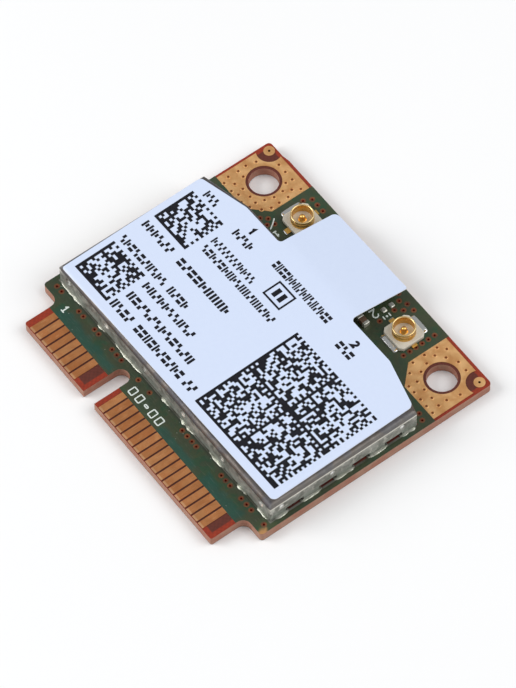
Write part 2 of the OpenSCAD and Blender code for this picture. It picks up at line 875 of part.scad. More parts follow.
// Printed fields, in hundredths of the label's width and length, from the middle of its front
// edge: left edge, lower edge, width, height
text_fields = [
  [-48.8, 48.3, 13.6, 5.1], [-32, 48.3, 23.6, 5.1], [-48.8, 33.2, 21.2, 5], [-25.7, 33.2, 8.9, 5],
  [-31.4, 24.7, 23.2, 5], [-31.5, 14.5, 30.5, 5.1], [-32.3, 4.7, 9.3, 5.2], [-21, 4.7, 22, 5.2],
  [2.4, 4.7, 4.8, 5.2], [-31.4, 64.1, 33.8, 4.7], [-31.5, 71.1, 19.5, 4.7], [-13.6, 87.5, 25.9, 5.2],
  [-45.4, 85.9, 5.9, 5.2], [-29.6, 83.3, 8.2, 5], [19.6, 82.8, 7, 5]
];
mark_frame = [-7.6, 73.2, 7.9, 12.2];
// Square code fields: left edge, lower edge, and side in hundredths of the width
code_fields = [[-48.5, 57.4, 14.8], [-48.8, 4.5, 15.2], [9.6, 3.9, 37.5]];
// Numerals: middle, and lower edge
print_one = [-26.1, 90.7];
print_two = [23.3, 89.5];
code_line = 0.26;
unit_x = label_w / 100;
unit_y = label_l / 100;

module on_print(x, y) {
  translate([x * unit_x, from_edge(label_front) + y * unit_y]) children();
}

module frame_mark(w, h, line) {
  difference() {
    square([w, h]);
    translate([line, line]) square([w - 2 * line, h - 2 * line]);
  }
}

// Two solid borders, and a middle cross on a large field
module code_field(side, large) {
  square([side, code_line]);
  square([code_line, side]);
  if (large) {
    translate([0, side / 2]) square([side, code_line]);
    translate([side / 2, 0]) square([code_line, side]);
  }
}

module label_print() {
  color(INK)
    on_label()
      translate([0, 0, label_top])
        linear_extrude(ink_t) {
          for (t = text_fields) on_print(t[0], t[1]) square([t[2] * unit_x, t[3] * unit_y]);
          for (c = code_fields) on_print(c[0], c[1]) code_field(c[2] * unit_x, c[2] > 20);
          on_print(mark_frame[0], mark_frame[1])
            frame_mark(mark_frame[2] * unit_x, mark_frame[3] * unit_y, 0.16);
          on_print(print_one.x, print_one.y) numeral(one_strokes, 0.7, 0.13);
          on_print(print_two.x, print_two.y) numeral(two_strokes, 0.76, 0.13);
        }
}

// Antenna sockets, modelled with the signal tab towards -X and turned into place

module left_socket() {
  at(-socket_x, socket_depth, board_t - copper_t + mask_t) rotate([0, 0, 90]) children();
}

module right_socket() {
  at(socket_x, socket_depth, board_t - copper_t + mask_t) children();
}

module contact_strip() {
  length = socket_base_w + signal_reach + stub_reach;
  translate([-socket_base_w / 2 - signal_reach, -strip_w / 2, 0]) cube([length, strip_w, strip_t]);
  cylinder(h = socket_h - pin_drop - pin_r, r = pin_r);
  translate([0, 0, socket_h - pin_drop - pin_r]) sphere(pin_r);
}

module shell_solid() {
  ring_low = strip_t + 0.06;
  foot_r = shell_r + 0.06;
  leg_l = socket_base_w / 2 + leg_reach;
  difference() {
    union() {
      translate([0, 0, socket_base_h]) cylinder(h = socket_h - socket_base_h, r = shell_r);
      translate([0, 0, ring_low]) cylinder(h = socket_base_h - ring_low, r1 = foot_r, r2 = shell_r);
      translate([-leg_w / 2, -leg_l, 0]) cube([leg_w, 2 * leg_l, strip_t]);
      translate([-leg_w / 2, -shell_r, 0]) cube([leg_w, 2 * shell_r, ring_low]);
    }
    translate([0, 0, -1]) cylinder(h = socket_h + 2, r = shell_r - shell_t);
    translate([-big, -strip_w / 2 - 0.1, -1]) cube([2 * big, strip_w + 0.2, ring_low + 1]);
    shell_groove();
  }
}

// The snap groove round the shell, and the bevel inside its rim
module shell_groove() {
  groove = 0.05;
  groove_low = socket_base_h + 0.3;
  rotate_extrude()
    translate([shell_r - groove, groove_low])
      polygon([[0, 0.1], [groove * 2, 0], [groove * 2, 0.2]]);
  rotate_extrude()
    translate([shell_r - shell_t, socket_h])
      polygon([[-0.1, 0.1], [-0.1, -0.15], [0, -0.07], [0.07, 0], [0.07, 0.1]]);
}

module socket_base() {
  half = socket_base_w / 2;
  cut = socket_chamfer;
  color(CREAM)
    difference() {
      linear_extrude(socket_base_h)
        polygon([
          [-half + cut, -half], [half - cut, -half], [half, -half + cut], [half, half - cut],
          [half - cut, half], [-half + cut, half], [-half, half - cut], [-half, -half + cut]
        ]);
      shell_solid();
      contact_strip();
    }
}

module socket_shell() {
  color(GOLD) shell_solid();
}

module socket_contact() {
  color(GOLD) contact_strip();
}

// Solder over both ground legs and under the end of the signal tab
module socket_solder() {
  half = socket_base_w / 2;
  reach = leg_reach + 0.12;
  color(SOLDER) {
    for (side = [-1, 1])
      rotate([0, 0, side * 90])
        translate([half, 0, 0])
          rotate([90, 0, 0])
            linear_extrude(leg_w, center = true)
              polygon([
                [leg_reach, 0], [reach, 0], [reach, 0.05], [leg_reach, strip_t + 0.06],
                [0.02, strip_t + 0.1], [0.02, strip_t], [leg_reach, strip_t]
              ]);
    translate([-half - signal_reach, 0, 0])
      rotate([90, 0, 0])
        linear_extrude(strip_w + 0.1, center = true)
          polygon([
            [0, 0], [0, strip_t], [signal_reach / 2, strip_t], [signal_reach / 2, strip_t + 0.06],
            [0, strip_t + 0.06], [-0.12, 0.05], [-0.12, 0]
          ]);
  }
}

module left_socket_base() {
  left_socket() socket_base();
}

module left_socket_shell() {
  left_socket() socket_shell();
}

module left_socket_contact() {
  left_socket() socket_contact();
}

module left_socket_solder() {
  left_socket() socket_solder();
}

module right_socket_base() {
  right_socket() socket_base();
}

module right_socket_shell() {
  right_socket() socket_shell();
}

module right_socket_contact() {
  right_socket() socket_contact();
}

module right_socket_solder() {
  right_socket() socket_solder();
}

// Chip parts: a ceramic body between two metal ends, lying along X

module chip_part_body(l, w, h, end) {
  translate([-l / 2 + end, -w / 2 + 0.02, 0]) cube([l - 2 * end, w - 0.04, h - 0.02]);
}

module chip_part_ends(l, w, h, end) {
  for (side = [-1, 1])
    translate([side * (l - end) / 2 - end / 2, -w / 2, 0]) cube([end, w, h]);
}

// The capacitor by the right socket
side_capacitor = [-2.95, -1.95];

module at_side_capacitor() {
  at(socket_x + side_capacitor.x, socket_depth + side_capacitor.y, mask_top) children();
}

module side_capacitor_body() {
  color(CERAMIC)
    at_side_capacitor() chip_part_body(side_capacitor_l, side_capacitor_w, chip_h, chip_end + 0.05);
}

module side_capacitor_ends() {
  color(SOLDER)
    at_side_capacitor() chip_part_ends(side_capacitor_l, side_capacitor_w, chip_h, chip_end + 0.05);
}

// Parts under the shield. Each place is given in shares of half the room's width and length
radio_at = [0.028, 0];
front_end_at = [[-0.682, 0.423], [0.711, 0.423]];
crystal_at = [-0.725, -0.608];
memory_at = [-0.753, -0.145];
regulator_at = [0.597, -0.647];
inductor_at = [0.86, -0.647];
bulk_at = [[0.874, -0.119], [0.661, -0.119]];
filter_at = [[-0.476, 0.793], [0.505, 0.793], [-0.903, 0.423]];
resistor_row_at = [-0.469, -0.528];
resistor_count = 6;
resistor_pitch = 0.85;

module inside(p) {
  at(p.x * room_half, can_mid + p.y * room_deep, mask_top) children();
}

module block(w, l, h) {
  translate([-w / 2, -l / 2, 0]) cube([w, l, h]);
}

// Square chip with leads let into the bottom edge of all four sides
module chip_leads(w, l, count_x, count_y, pitch, lead_w) {
  lead_l = 0.4;
  lead_t = 0.2;
  for (side = [-1, 1]) {
    for (i = [0:count_x - 1])
      translate([(i - (count_x - 1) / 2) * pitch, side * (l / 2 - lead_l / 2 + 0.05), 0])
        block(lead_w, lead_l, lead_t);
    for (i = [0:count_y - 1])
      translate([side * (w / 2 - lead_l / 2 + 0.05), (i - (count_y - 1) / 2) * pitch, 0])
        block(lead_l, lead_w, lead_t);
  }
}

module radio_lead_set() {
  inside(radio_at) chip_leads(radio_w, radio_w, radio_leads, radio_leads, 0.48, 0.24);
}

module radio_chip() {
  color(CHIP)
    difference() {
      inside(radio_at) block(radio_w, radio_w, radio_h);
      radio_lead_set();
    }
}

module radio_chip_leads() {
  color(SOLDER) radio_lead_set();
}

module front_end_lead_set() {
  for (p = front_end_at) inside(p) chip_leads(front_end_w, front_end_w, 5, 5, 0.6, 0.28);
}

module front_end_modules() {
  color(CHIP)
    difference() {
      for (p = front_end_at) inside(p) block(front_end_w, front_end_w, front_end_h);
      front_end_lead_set();
    }
}

module front_end_leads() {
  color(SOLDER) front_end_lead_set();
}

module crystal() {
  rim = 0.2;
  color(STEEL)
    inside(crystal_at) {
      block(crystal_l, crystal_w, crystal_h / 2);
      block(crystal_l - 2 * rim, crystal_w - 2 * rim, crystal_h);
    }
}

module memory_lead_set() {
  inside(memory_at) chip_leads(memory_l, memory_w, 4, 0, 0.6, 0.28);
}

module memory_chip() {
  color(CHIP)
    difference() {
      inside(memory_at) block(memory_l, memory_w, small_chip_h);
      memory_lead_set();
    }
}

module memory_chip_leads() {
  color(SOLDER) memory_lead_set();
}

module regulator_chip() {
  color(CHIP) inside(regulator_at) block(regulator_w, regulator_w, small_chip_h);
}

module power_inductor() {
  neck = 0.3;
  color(CHIP)
    inside(inductor_at) {
      block(inductor_w, inductor_w, neck);
      cylinder(h = inductor_h, r = inductor_w * 0.38);
      translate([0, 0, inductor_h - neck]) cylinder(h = neck, r = inductor_w / 2);
    }
}

module at_bulk() {
  for (p = bulk_at) inside(p) rotate([0, 0, 90]) children();
}

module bulk_capacitor_bodies() {
  color(CERAMIC) at_bulk() chip_part_body(bulk_l, bulk_w, bulk_h, 2 * chip_end);
}

module bulk_capacitor_ends() {
  color(SOLDER) at_bulk() chip_part_ends(bulk_l, bulk_w, bulk_h, 2 * chip_end);
}

// Four capacitors along each side of the radio chip
module at_decoupling() {
  gap = 0.6;
  for (turn = [0:90:270])
    inside(radio_at)
      rotate([0, 0, turn])
        for (i = [-1.5:1.5])
          translate([i * 1.9, radio_w / 2 + gap + chip_w / 2, 0]) children();
}

module decoupling_capacitor_bodies() {
  color(CERAMIC) at_decoupling() chip_part_body(chip_l, chip_w, chip_h, chip_end);
}

module decoupling_capacitor_ends() {
  color(SOLDER) at_decoupling() chip_part_ends(chip_l, chip_w, chip_h, chip_end);
}

module at_resistors() {
  inside(resistor_row_at)
    for (i = [0:resistor_count - 1])
      translate([0, (i - (resistor_count - 1) / 2) * resistor_pitch, 0]) children();
}

module resistor_bodies() {
  color(CHIP) at_resistors() chip_part_body(chip_l, chip_w, chip_h * 0.7, chip_end);
}

module resistor_ends() {
  color(SOLDER) at_resistors() chip_part_ends(chip_l, chip_w, chip_h * 0.7, chip_end);
}

module at_filters() {
  for (p = filter_at) inside(p) rotate([0, 0, 90]) children();
}

module filter_bodies() {
  color(CREAM) at_filters() chip_part_body(filter_l, filter_w, filter_h, chip_end);
}

module filter_ends() {
  color(SOLDER) at_filters() chip_part_ends(filter_l, filter_w, filter_h, chip_end);
}

laminate_board();
solder_mask_top();
solder_mask_bottom();
edge_contacts_top();
edge_contacts_bottom();
mounting_pad_left();
mounting_pad_right();
corner_test_pads();
board_vias();
shield_land();
spare_lands();
silkscreen();
shield_frame();
shield_lid();
shield_solder();
label();
label_print();
left_socket_base();
left_socket_shell();
left_socket_contact();
left_socket_solder();
right_socket_base();
right_socket_shell();
right_socket_contact();
right_socket_solder();
side_capacitor_body();
side_capacitor_ends();
radio_chip();
radio_chip_leads();
front_end_modules();
front_end_leads();
crystal();
memory_chip();
memory_chip_leads();
regulator_chip();
power_inductor();
bulk_capacitor_bodies();
bulk_capacitor_ends();
decoupling_capacitor_bodies();
decoupling_capacitor_ends();
resistor_bodies();
resistor_ends();
filter_bodies();
filter_ends();
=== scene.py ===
"""A half-height mini PCIe wifi card: its CAD frame with finished surfaces, in a plain studio."""

import math

import bmesh
import bpy
import numpy as np
from bpy.props import FloatProperty, FloatVectorProperty, IntProperty, PointerProperty
from mathutils import Matrix, Vector


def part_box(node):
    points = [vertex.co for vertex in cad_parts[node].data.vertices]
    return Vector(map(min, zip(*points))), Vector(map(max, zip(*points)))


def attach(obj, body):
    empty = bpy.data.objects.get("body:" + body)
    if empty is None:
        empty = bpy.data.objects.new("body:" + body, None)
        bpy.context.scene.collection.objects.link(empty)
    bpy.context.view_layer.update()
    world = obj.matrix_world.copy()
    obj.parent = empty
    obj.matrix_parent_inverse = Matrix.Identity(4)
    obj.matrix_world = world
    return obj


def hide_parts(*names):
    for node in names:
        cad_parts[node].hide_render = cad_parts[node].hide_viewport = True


bl_info = {
    "name": "Mini PCIe wifi card",
    "version": (1, 0, 0),
    "blender": (4, 5, 0),
    "location": "View3D > Sidebar > Wifi card",
    "description": "Finishes the surfaces of a half-height mini PCIe wifi card on its CAD frame",
    "category": "Object",
}

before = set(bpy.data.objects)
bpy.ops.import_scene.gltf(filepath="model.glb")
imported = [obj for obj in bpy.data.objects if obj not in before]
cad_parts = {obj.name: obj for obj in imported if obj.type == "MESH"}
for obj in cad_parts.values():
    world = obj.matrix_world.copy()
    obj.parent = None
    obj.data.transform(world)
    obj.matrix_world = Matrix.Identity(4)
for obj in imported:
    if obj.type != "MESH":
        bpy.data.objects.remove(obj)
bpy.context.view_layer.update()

MM = 0.001


def box_mm(node):
    """Lowest and highest corner of a CAD node, in millimetres."""
    low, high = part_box(node)
    return np.array(low) / MM, np.array(high) / MM


BOARD_FRONT = box_mm("laminate_board")[0][1]
MASK_TOP = box_mm("solder_mask_top")[1][2]
COPPER_TOP = box_mm("mounting_pad_right")[1][2]
CONTACT_LOW, CONTACT_HIGH = box_mm("edge_contacts_top")
LID_LOW, LID_HIGH = box_mm("shield_lid")
LID_TOP = LID_HIGH[2]
LABEL_TOP = box_mm("label")[1][2]
PRINT_LOW, PRINT_HIGH = box_mm("label_print")

# Radius of the lid's bent edge
LID_BEND = 0.36

# The label was stuck on askew: its angle, and the depth on the board it was turned about
LABEL_TURN = 0.95
LABEL_PIVOT = 12.7
# Its outline: depths of the front edge, of the ends of the sides, of the shoulders and of the
# tongue's end, and X of the sides, of the shoulders' outer corners and of the tongue's sides
LABEL_FRONT = 5.07
LABEL_SIDE_END = 19.3
LABEL_SHOULDER = 20.5
LABEL_BACK = 26.36
LABEL_LEFT, LABEL_RIGHT = -14.24, 14.0
SHOULDER_X = 9.5
TONGUE_LEFT, TONGUE_RIGHT = -5.025, 4.425
# Its tongue: how far behind the shoulders it starts to bend, the radius, and the slope in degrees
DROOP_START = 0.05
DROOP_RADIUS = 6.0
DROOP = 10.5

# Sockets: place of their middle, sideways and behind the contact edge
SOCKET_X = 6.895
SOCKET_DEPTH = 24.0

# The pair of tinned lands beside the right socket, and the height that their solder starts at
SPARE_LAND_X = SOCKET_X - 2.85
SPARE_LAND_DEPTHS = (SOCKET_DEPTH + 0.12, SOCKET_DEPTH + 0.92)
SPARE_LAND_FOOT = MASK_TOP - 0.03

# Edge contacts: pitch, width, the numbers left and right of the notch, and the depth of their
# middle with half their length
CONTACT_PITCH = 0.8
CONTACT_WIDTH = 0.63
LEFT_CONTACTS = 8
RIGHT_CONTACTS = 18
CONTACT_FIELD = (1.6, 1.56)

# Screw holes, and the stitching vias of the pads round them, measured from the hole
HOLE_X = 12.1
HOLE_DEPTH = 23.9
LEFT_STITCHES = np.array([
    (-0.55, 1.97), (0.35, 1.97), (1.3, 1.97), (2.5, 1.97), (1.25, 1.33), (2.1, 1.33),
    (-1.95, 0.65), (1.75, 0.65), (2.5, 0.65), (-2.15, -0.28), (1.8, -0.28), (2.5, -0.28),
    (-2.1, -1.1), (-1.4, -1.1), (1.55, -1.1), (2.5, -1.1), (-0.45, -1.85), (0.55, -1.85),
    (1.3, -1.85), (2.15, -1.85), (-2.15, -2.1), (-1.25, -2.1), (-0.2, -2.5), (1.35, -2.5),
    (-1.85, -2.75), (-0.85, -2.75), (0.55, -2.75),
])
RIGHT_STITCHES = np.array([
    (-1.95, 2.0), (-0.4, 2.0), (0.6, 2.0), (-2.55, 1.45), (-1.35, 1.45), (-2.05, 0.85),
    (-2.6, 0.2), (2.15, 0.2), (-1.85, -0.15), (-2.6, -1.0), (-1.5, -1.0), (1.9, -1.0),
    (-1.95, -1.83), (-0.95, -1.83), (0.0, -1.83), (1.0, -1.83), (1.9, -1.83),
    (-1.0, -2.65), (-0.3, -2.65), (0.55, -2.65), (1.35, -2.65), (2.15, -2.65),
])

# Solder joints at the foot of the shield: middle and length along the front, start and end along
# each side, the gap to the lid, how far they run in under it, and half the length of its back wall
FRONT_JOINTS = np.array([
    (-12.7, 3.4), (-8.6, 1.1), (-4.86, 3.8), (0.3, 1.2), (3.25, 2.1), (7.2, 2.0), (10.65, 1.3),
    (13.45, 1.5),
])
SIDE_JOINTS = np.array([(5.2, 6.6), (7.8, 9.9), (11.15, 13.2), (14.5, 16.55), (17.8, 19.4)])
JOINT_GAP = 0.004
JOINT_UNDER = 0.16
BACK_WALL = 9.6

# Snap dimples pressed into the lid's walls: height, number and end gap along the front, then
# their depths on the sides
DIMPLE_Z = 2.2
FRONT_DIMPLES = 6
DIMPLE_SIDE_GAP = 1.25
SIDE_DIMPLES = (5.93, 11.0, 18.06)

# Rows of the print, in the label's own directions: left end, right end, foot and top as a depth
# on the board, and number of marks
PRINT_ROWS = (
    (-12.76, -11.12, 18.35, 19.13, 3), (-8.28, -5.96, 17.94, 18.70, 4),
    (-3.77, 3.53, 18.59, 19.41, 16), (5.50, 7.46, 17.89, 18.64, 3),
    (-8.73, -3.32, 16.10, 16.82, 11), (-8.67, 0.70, 15.02, 15.74, 17),
    (-13.58, -9.78, 12.62, 13.40, 6), (-8.89, -2.23, 12.62, 13.40, 9),
    (-13.61, -7.64, 10.32, 11.08, 10), (-7.17, -4.70, 10.32, 11.08, 4),
    (-8.74, -2.19, 9.03, 9.77, 10), (-8.83, -0.25, 7.46, 8.24, 12),
    (-9.07, -6.44, 5.95, 6.78, 4), (-5.88, 0.32, 5.95, 6.78, 10), (0.67, 2.03, 5.95, 6.78, 2),
)
# Square patterns: left, front, right and back edge, cells along one block, and blocks
SQUARE_PATTERNS = (
    (-13.58, 13.99, -9.38, 18.00, 16, 1), (-13.67, 5.93, -9.37, 9.93, 16, 1),
    (2.69, 5.83, 13.19, 16.30, 22, 2),
)
# A framed pair of bars: left, front, right and back edge
BAR_FRAME = (-2.12, 16.41, 0.09, 18.27)
# Numerals by the sockets: middle, foot and height, and the width of their line
ONE_PLACE = (-7.3, 19.06, 0.75)
TWO_PLACE = (6.53, 18.87, 0.81)
NUMERAL_LINE = 0.22
# Outlined shapes printed on the board in front of the shield: middle, width, foot and top
BOARD_MARKS = (
    (-2.12, 0.62, 2.8, 3.62), (-1.2, 0.62, 2.8, 3.62), (-0.3, 0.5, 3.06, 3.34),
    (0.58, 0.62, 2.8, 3.62), (1.48, 0.62, 2.8, 3.62),
)

# Fields of a finish, each as middle X, half X, middle depth and half depth: copper inside the
# laminate, mask over bare laminate, and the mask's painted shadow along the lid's foot, worn
# corner and dusty front
INNER_COPPER = [(0.0, 14.55, 15.1, 11.25), (-8.5, 3.45, 2.2, 1.75), (4.88, 7.52, 2.2, 1.75)]
BARE_LAMINATE = [
    (-9.6, 2.6, 2.95, 0.55), (-6.4, 1.6, 3.1, 0.4), (4.3, 2.2, 2.75, 0.45), (10.2, 2.4, 2.85, 0.6)
]
PAINTED_SHADOW_LINE = [(0.0, 13.6, 4.75, 0.26)]
WORN_CORNER = [(14.95, 0.35, 3.6, 0.45)]
DUSTY_FRONT = [(0.0, 14.5, 3.6, 1.1)]
# Their lowest and highest point: through the whole board, or on its upper face only
THROUGH = (-1.0, 2.0)
UPPER_FACE = (0.6, 1.4)


def on_board(depth):
    """Y of a distance behind the contact edge."""
    return BOARD_FRONT + depth


# Shapes, worked out as arrays of points in millimetres


def ripple(t, seed):
    """Smooth unevenness between -1 and 1: a mean of sines whose pitch and phase are seeded."""
    waves = 5
    rng = np.random.default_rng(seed)
    pitch = rng.uniform(1.5, 9.0, waves)
    phase = rng.uniform(0, 2 * np.pi, waves)
    t = np.asarray(t, float)[..., None]
    return np.sin(t * pitch + phase).mean(axis=-1) * 1.6


def cells(rows, cols):
    """The quads of a grid of points, from row to row and column to column."""
    index = np.arange(rows * cols).reshape(rows, cols)
    quads = np.stack([index[:-1, :-1], index[:-1, 1:], index[1:, 1:], index[1:, :-1]], -1)
    return quads.reshape(-1, 4)


def looped(rows, cols):
    """The quads of a grid of points whose rows and columns both close on themselves."""
    index = np.arange(rows * cols).reshape(rows, cols)
    across, along = np.roll(index, -1, axis=0), np.roll(index, -1, axis=1)
    both = np.roll(across, -1, axis=1)
    return np.stack([index, across, both, along], -1).reshape(-1, 4)


def slab(top, bottom):
    """A closed slab between two grids of points, whose rows run along Y and columns along X.

    Every grid cell is a quad, and the two grids' borders are joined by a wall.
    """
    rows, cols = top.shape[:2]
    index = np.arange(rows * cols).reshape(rows, cols)
    upper = cells(rows, cols)
    lower = upper[:, ::-1] + rows * cols
    rim = np.concatenate([index[0, :-1], index[:-1, -1], index[-1, :0:-1], index[:0:-1, 0]])
    after = np.roll(rim, -1)
    wall = np.stack([rim, rim + rows * cols, after + rows * cols, after], -1)
    points = np.concatenate([top.reshape(-1, 3), bottom.reshape(-1, 3)])
    return points, np.concatenate([upper, lower, wall])


def turned(profile, steps):
    """A closed profile of (radius, height) points turned about Z.

    The profile runs up its outer side, and point j at step i is radius j times the cosine and
    sine of the angle of step i.
    """
    profile = np.asarray(profile, float)
    count = len(profile)
    angle = np.linspace(0, 2 * np.pi, steps, endpoint=False)[:, None]
    points = np.stack([
        profile[:, 0] * np.cos(angle), profile[:, 0] * np.sin(angle),
        np.broadcast_to(profile[:, 1], (steps, count)),
    ], -1)
    return points.reshape(-1, 3), looped(steps, count)


def stacked(outline, levels):
    """A solid of one outline stacked at several levels of (inset, height), closed at both ends.

    The inset moves each point towards the middle by that share of the outline's half size.
    """
    outline = np.asarray(outline, float)
    levels = np.asarray(levels, float)
    half = np.abs(outline).max()
    size = (half - levels[:, 0]) / half
    count, height = len(outline), len(levels)
    points = np.empty((height, count, 3))
    points[..., :2] = outline[None] * size[:, None, None]
    points[..., 2] = levels[:, 1, None]
    index = np.arange(height * count).reshape(height, count)
    after = np.roll(index, -1, axis=1)
    side = np.stack([index[:-1], after[:-1], after[1:], index[1:]], -1).reshape(-1, 4)
    return points.reshape(-1, 3), side, index[:1, ::-1], index[-1:]


def bars(rectangles, low, high):
    """Flat bars on (left, front, right, back) rectangles, as eight points and six faces each."""
    r = np.asarray(rectangles, float).reshape(-1, 4)
    x = r[:, [0, 2, 2, 0]]
    y = r[:, [1, 1, 3, 3]]
    corners = np.stack([x, y], -1)
    points = np.concatenate([
        np.concatenate([corners, np.full((len(r), 4, 1), low)], -1),
        np.concatenate([corners, np.full((len(r), 4, 1), high)], -1),
    ], 1)
    cube = np.array([
        (3, 2, 1, 0), (4, 5, 6, 7), (0, 1, 5, 4), (1, 2, 6, 5), (2, 3, 7, 6), (3, 0, 4, 7)
    ])
    faces = cube[None] + 8 * np.arange(len(r))[:, None, None]
    return points.reshape(-1, 3), faces.reshape(-1, 4)


def ribbon(path, width, low, high):
    """A stroke of one width along a path: its two sides stand off along the mitred normals."""
    path = np.asarray(path, float)
    step = np.diff(path, axis=0)
    step /= np.linalg.norm(step, axis=1)[:, None]
    normal = np.stack([-step[:, 1], step[:, 0]], -1)
    first, last = normal[:1], normal[-1:]
    middle = normal[:-1] + normal[1:]
    middle /= (1 + (normal[:-1] * normal[1:]).sum(1))[:, None]
    offset = np.concatenate([first, middle, last]) * width / 2
    sides = np.stack([path - offset, path + offset])
    top = np.concatenate([sides, np.full(sides.shape[:2] + (1,), high)], -1)
    bottom = np.concatenate([sides, np.full(sides.shape[:2] + (1,), low)], -1)
    return slab(top, bottom)


def chain(corners):
    """A path through (x, y, radius) corners, where each corner is an arc that touches its sides."""
    steps = 8
    points = [np.array(corners[0][:2])]
    for a, b, c in zip(corners, corners[1:], corners[2:]):
        before, here, after = (np.array(p[:2]) for p in (a, b, c))
        u = (before - here) / np.linalg.norm(before - here)
        w = (after - here) / np.linalg.norm(after - here)
        half = math.acos(np.clip(u @ w, -1, 1)) / 2
        centre = here + (u + w) / np.linalg.norm(u + w) * b[2] / math.sin(half)
        start = here + u * b[2] / math.tan(half) - centre
        end = here + w * b[2] / math.tan(half) - centre
        share = np.linspace(0, 1, steps + 1)[:, None]
        swing = math.acos(np.clip(start @ end / b[2] ** 2, -1, 1))
        arc = (np.sin((1 - share) * swing) * start + np.sin(share * swing) * end) / np.sin(swing)
        points.extend(centre + arc)
    points.append(np.array(corners[-1][:2]))
    return np.array(points)


def fillet(length, reach, rise, back, seed):
    """A concave solder joint along X against a wall at Y = 0, from behind the wall outwards.

    Across the joint the height is the rise times (1 - t)^1.7, with t the share of the reach, and
    a hair more halfway. Along it, reach and rise swell and shrink by a ripple and fade to nothing
    at both ends. From the wall backwards it is a thin level layer.
    """
    layer = 0.1
    s = np.linspace(-1, 1, 31)
    t = np.array([0, 0, 0.08, 0.2, 0.35, 0.5, 0.65, 0.8, 0.92, 1.0])
    fade = np.clip(1 - np.abs(s) ** 3, 0, 1) ** 0.7
    out = reach * fade * (0.74 + 0.24 * ripple(s * length * 0.6, seed))
    up = rise * fade * (0.8 + 0.2 * ripple(s * length * 0.6, seed + 1))
    top = np.empty((len(t) + 1, len(s), 3))
    top[..., 0] = s * length / 2
    top[0, :, 1] = -back
    top[0, :, 2] = layer
    top[1:, :, 1] = t[:, None] * out
    top[1:, :, 2] = up * (1 - t[:, None]) ** 1.7 + 0.01 * fade * np.sin(t[:, None] * np.pi)
    top[1, :, 2] = layer
    bottom = top.copy()
    bottom[..., 2] = 0
    return slab(top, bottom)


def dome(width, length, rise, power):
    """A solder cushion: over a thin skirt, its height is the rise times the root of
    (1 - x^power)(1 - y^power)."""
    skirt = 0.02
    u = np.sin(np.linspace(-1, 1, 17) * np.pi / 2)
    x, y = np.meshgrid(u, u)
    cover = np.clip((1 - np.abs(x) ** power) * (1 - np.abs(y) ** power), 0, 1)
    round_off = 1 - 0.1 * np.abs(x * y) ** 2
    top = np.stack([
        x * width / 2 * round_off, y * length / 2 * round_off, skirt + rise * np.sqrt(cover)
    ], -1)
    bottom = top.copy()
    bottom[..., 2] = 0
    return slab(top, bottom)


class Pile:
    """Points and faces of one piece, gathered from several surfaces.

    A surface is an array of points and one array of faces or more, each of faces that have the
    same number of corners.
    """

    def __init__(self):
        self.points = []
        self.faces = []
        self.count = 0

    def add(self, surface, x=0.0, y=0.0, z=0.0, turn=0.0):
        """Adds a surface, turned about Z by so many degrees and then moved."""
        points, *blocks = surface
        c, s = math.cos(math.radians(turn)), math.sin(math.radians(turn))
        rotation = np.array([[c, s, 0], [-s, c, 0], [0, 0, 1]])
        self.points.append(points @ rotation + np.array([x, y, z]))
        for faces in blocks:
            self.faces.extend((faces + self.count).tolist())
        self.count += len(points)


def put(name, pile, material, nodes=(), sharp=35.0):
    """Makes one piece from a pile: merged, smooth up to a sharp angle, riding on the board."""
    mesh = bpy.data.meshes.new(name)
    mesh.from_pydata((np.concatenate(pile.points) * MM).tolist(), [], pile.faces)
    mend = bmesh.new()
    mend.from_mesh(mesh)
    bmesh.ops.remove_doubles(mend, verts=mend.verts, dist=1e-7)
    bmesh.ops.dissolve_degenerate(mend, edges=mend.edges, dist=1e-8)
    mend.to_mesh(mesh)
    mend.free()
    return finish_piece(name, mesh, material, nodes, sharp)


def finish_piece(name, mesh, material, nodes, sharp):
    """Links a finished mesh as a piece that stands for its CAD nodes."""
    mesh.shade_smooth()
    mesh.set_sharp_from_angle(angle=math.radians(sharp))
    piece = bpy.data.objects.new(name, mesh)
    bpy.context.scene.collection.objects.link(piece)
    mesh.materials.append(material)
    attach(piece, "root")
    if nodes:
        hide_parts(*nodes)
    return piece


def softened(node, name, material, slot, radius, segments=2):
    """A copy of a CAD node with its triangles merged and its sharp edges rounded by a Bevel."""
    work = bmesh.new()
    work.from_mesh(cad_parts[node].data)
    bmesh.ops.remove_doubles(work, verts=work.verts, dist=1e-7)
    bmesh.ops.dissolve_limit(
        work, angle_limit=math.radians(1), verts=work.verts, edges=work.edges
    )
    mesh = bpy.data.meshes.new(name)
    work.to_mesh(mesh)
    work.free()
    piece = finish_piece(name, mesh, material, (node,), 30.0)
    bevel = piece.modifiers.new("Rounded edges", "BEVEL")
    bevel.width = radius * MM
    bevel.segments = segments
    bevel.limit_method = "ANGLE"
    bevel.angle_limit = math.radians(40)
    bevel.use_clamp_overlap = True
    bevel.harden_normals = True
    return piece


def dress(node, material):
    """Gives a CAD node that keeps its shape a new material."""
    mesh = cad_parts[node].data
    if mesh.materials:
        for i in range(len(mesh.materials)):
            mesh.materials[i] = material
    else:
        mesh.materials.append(material)


# Materials


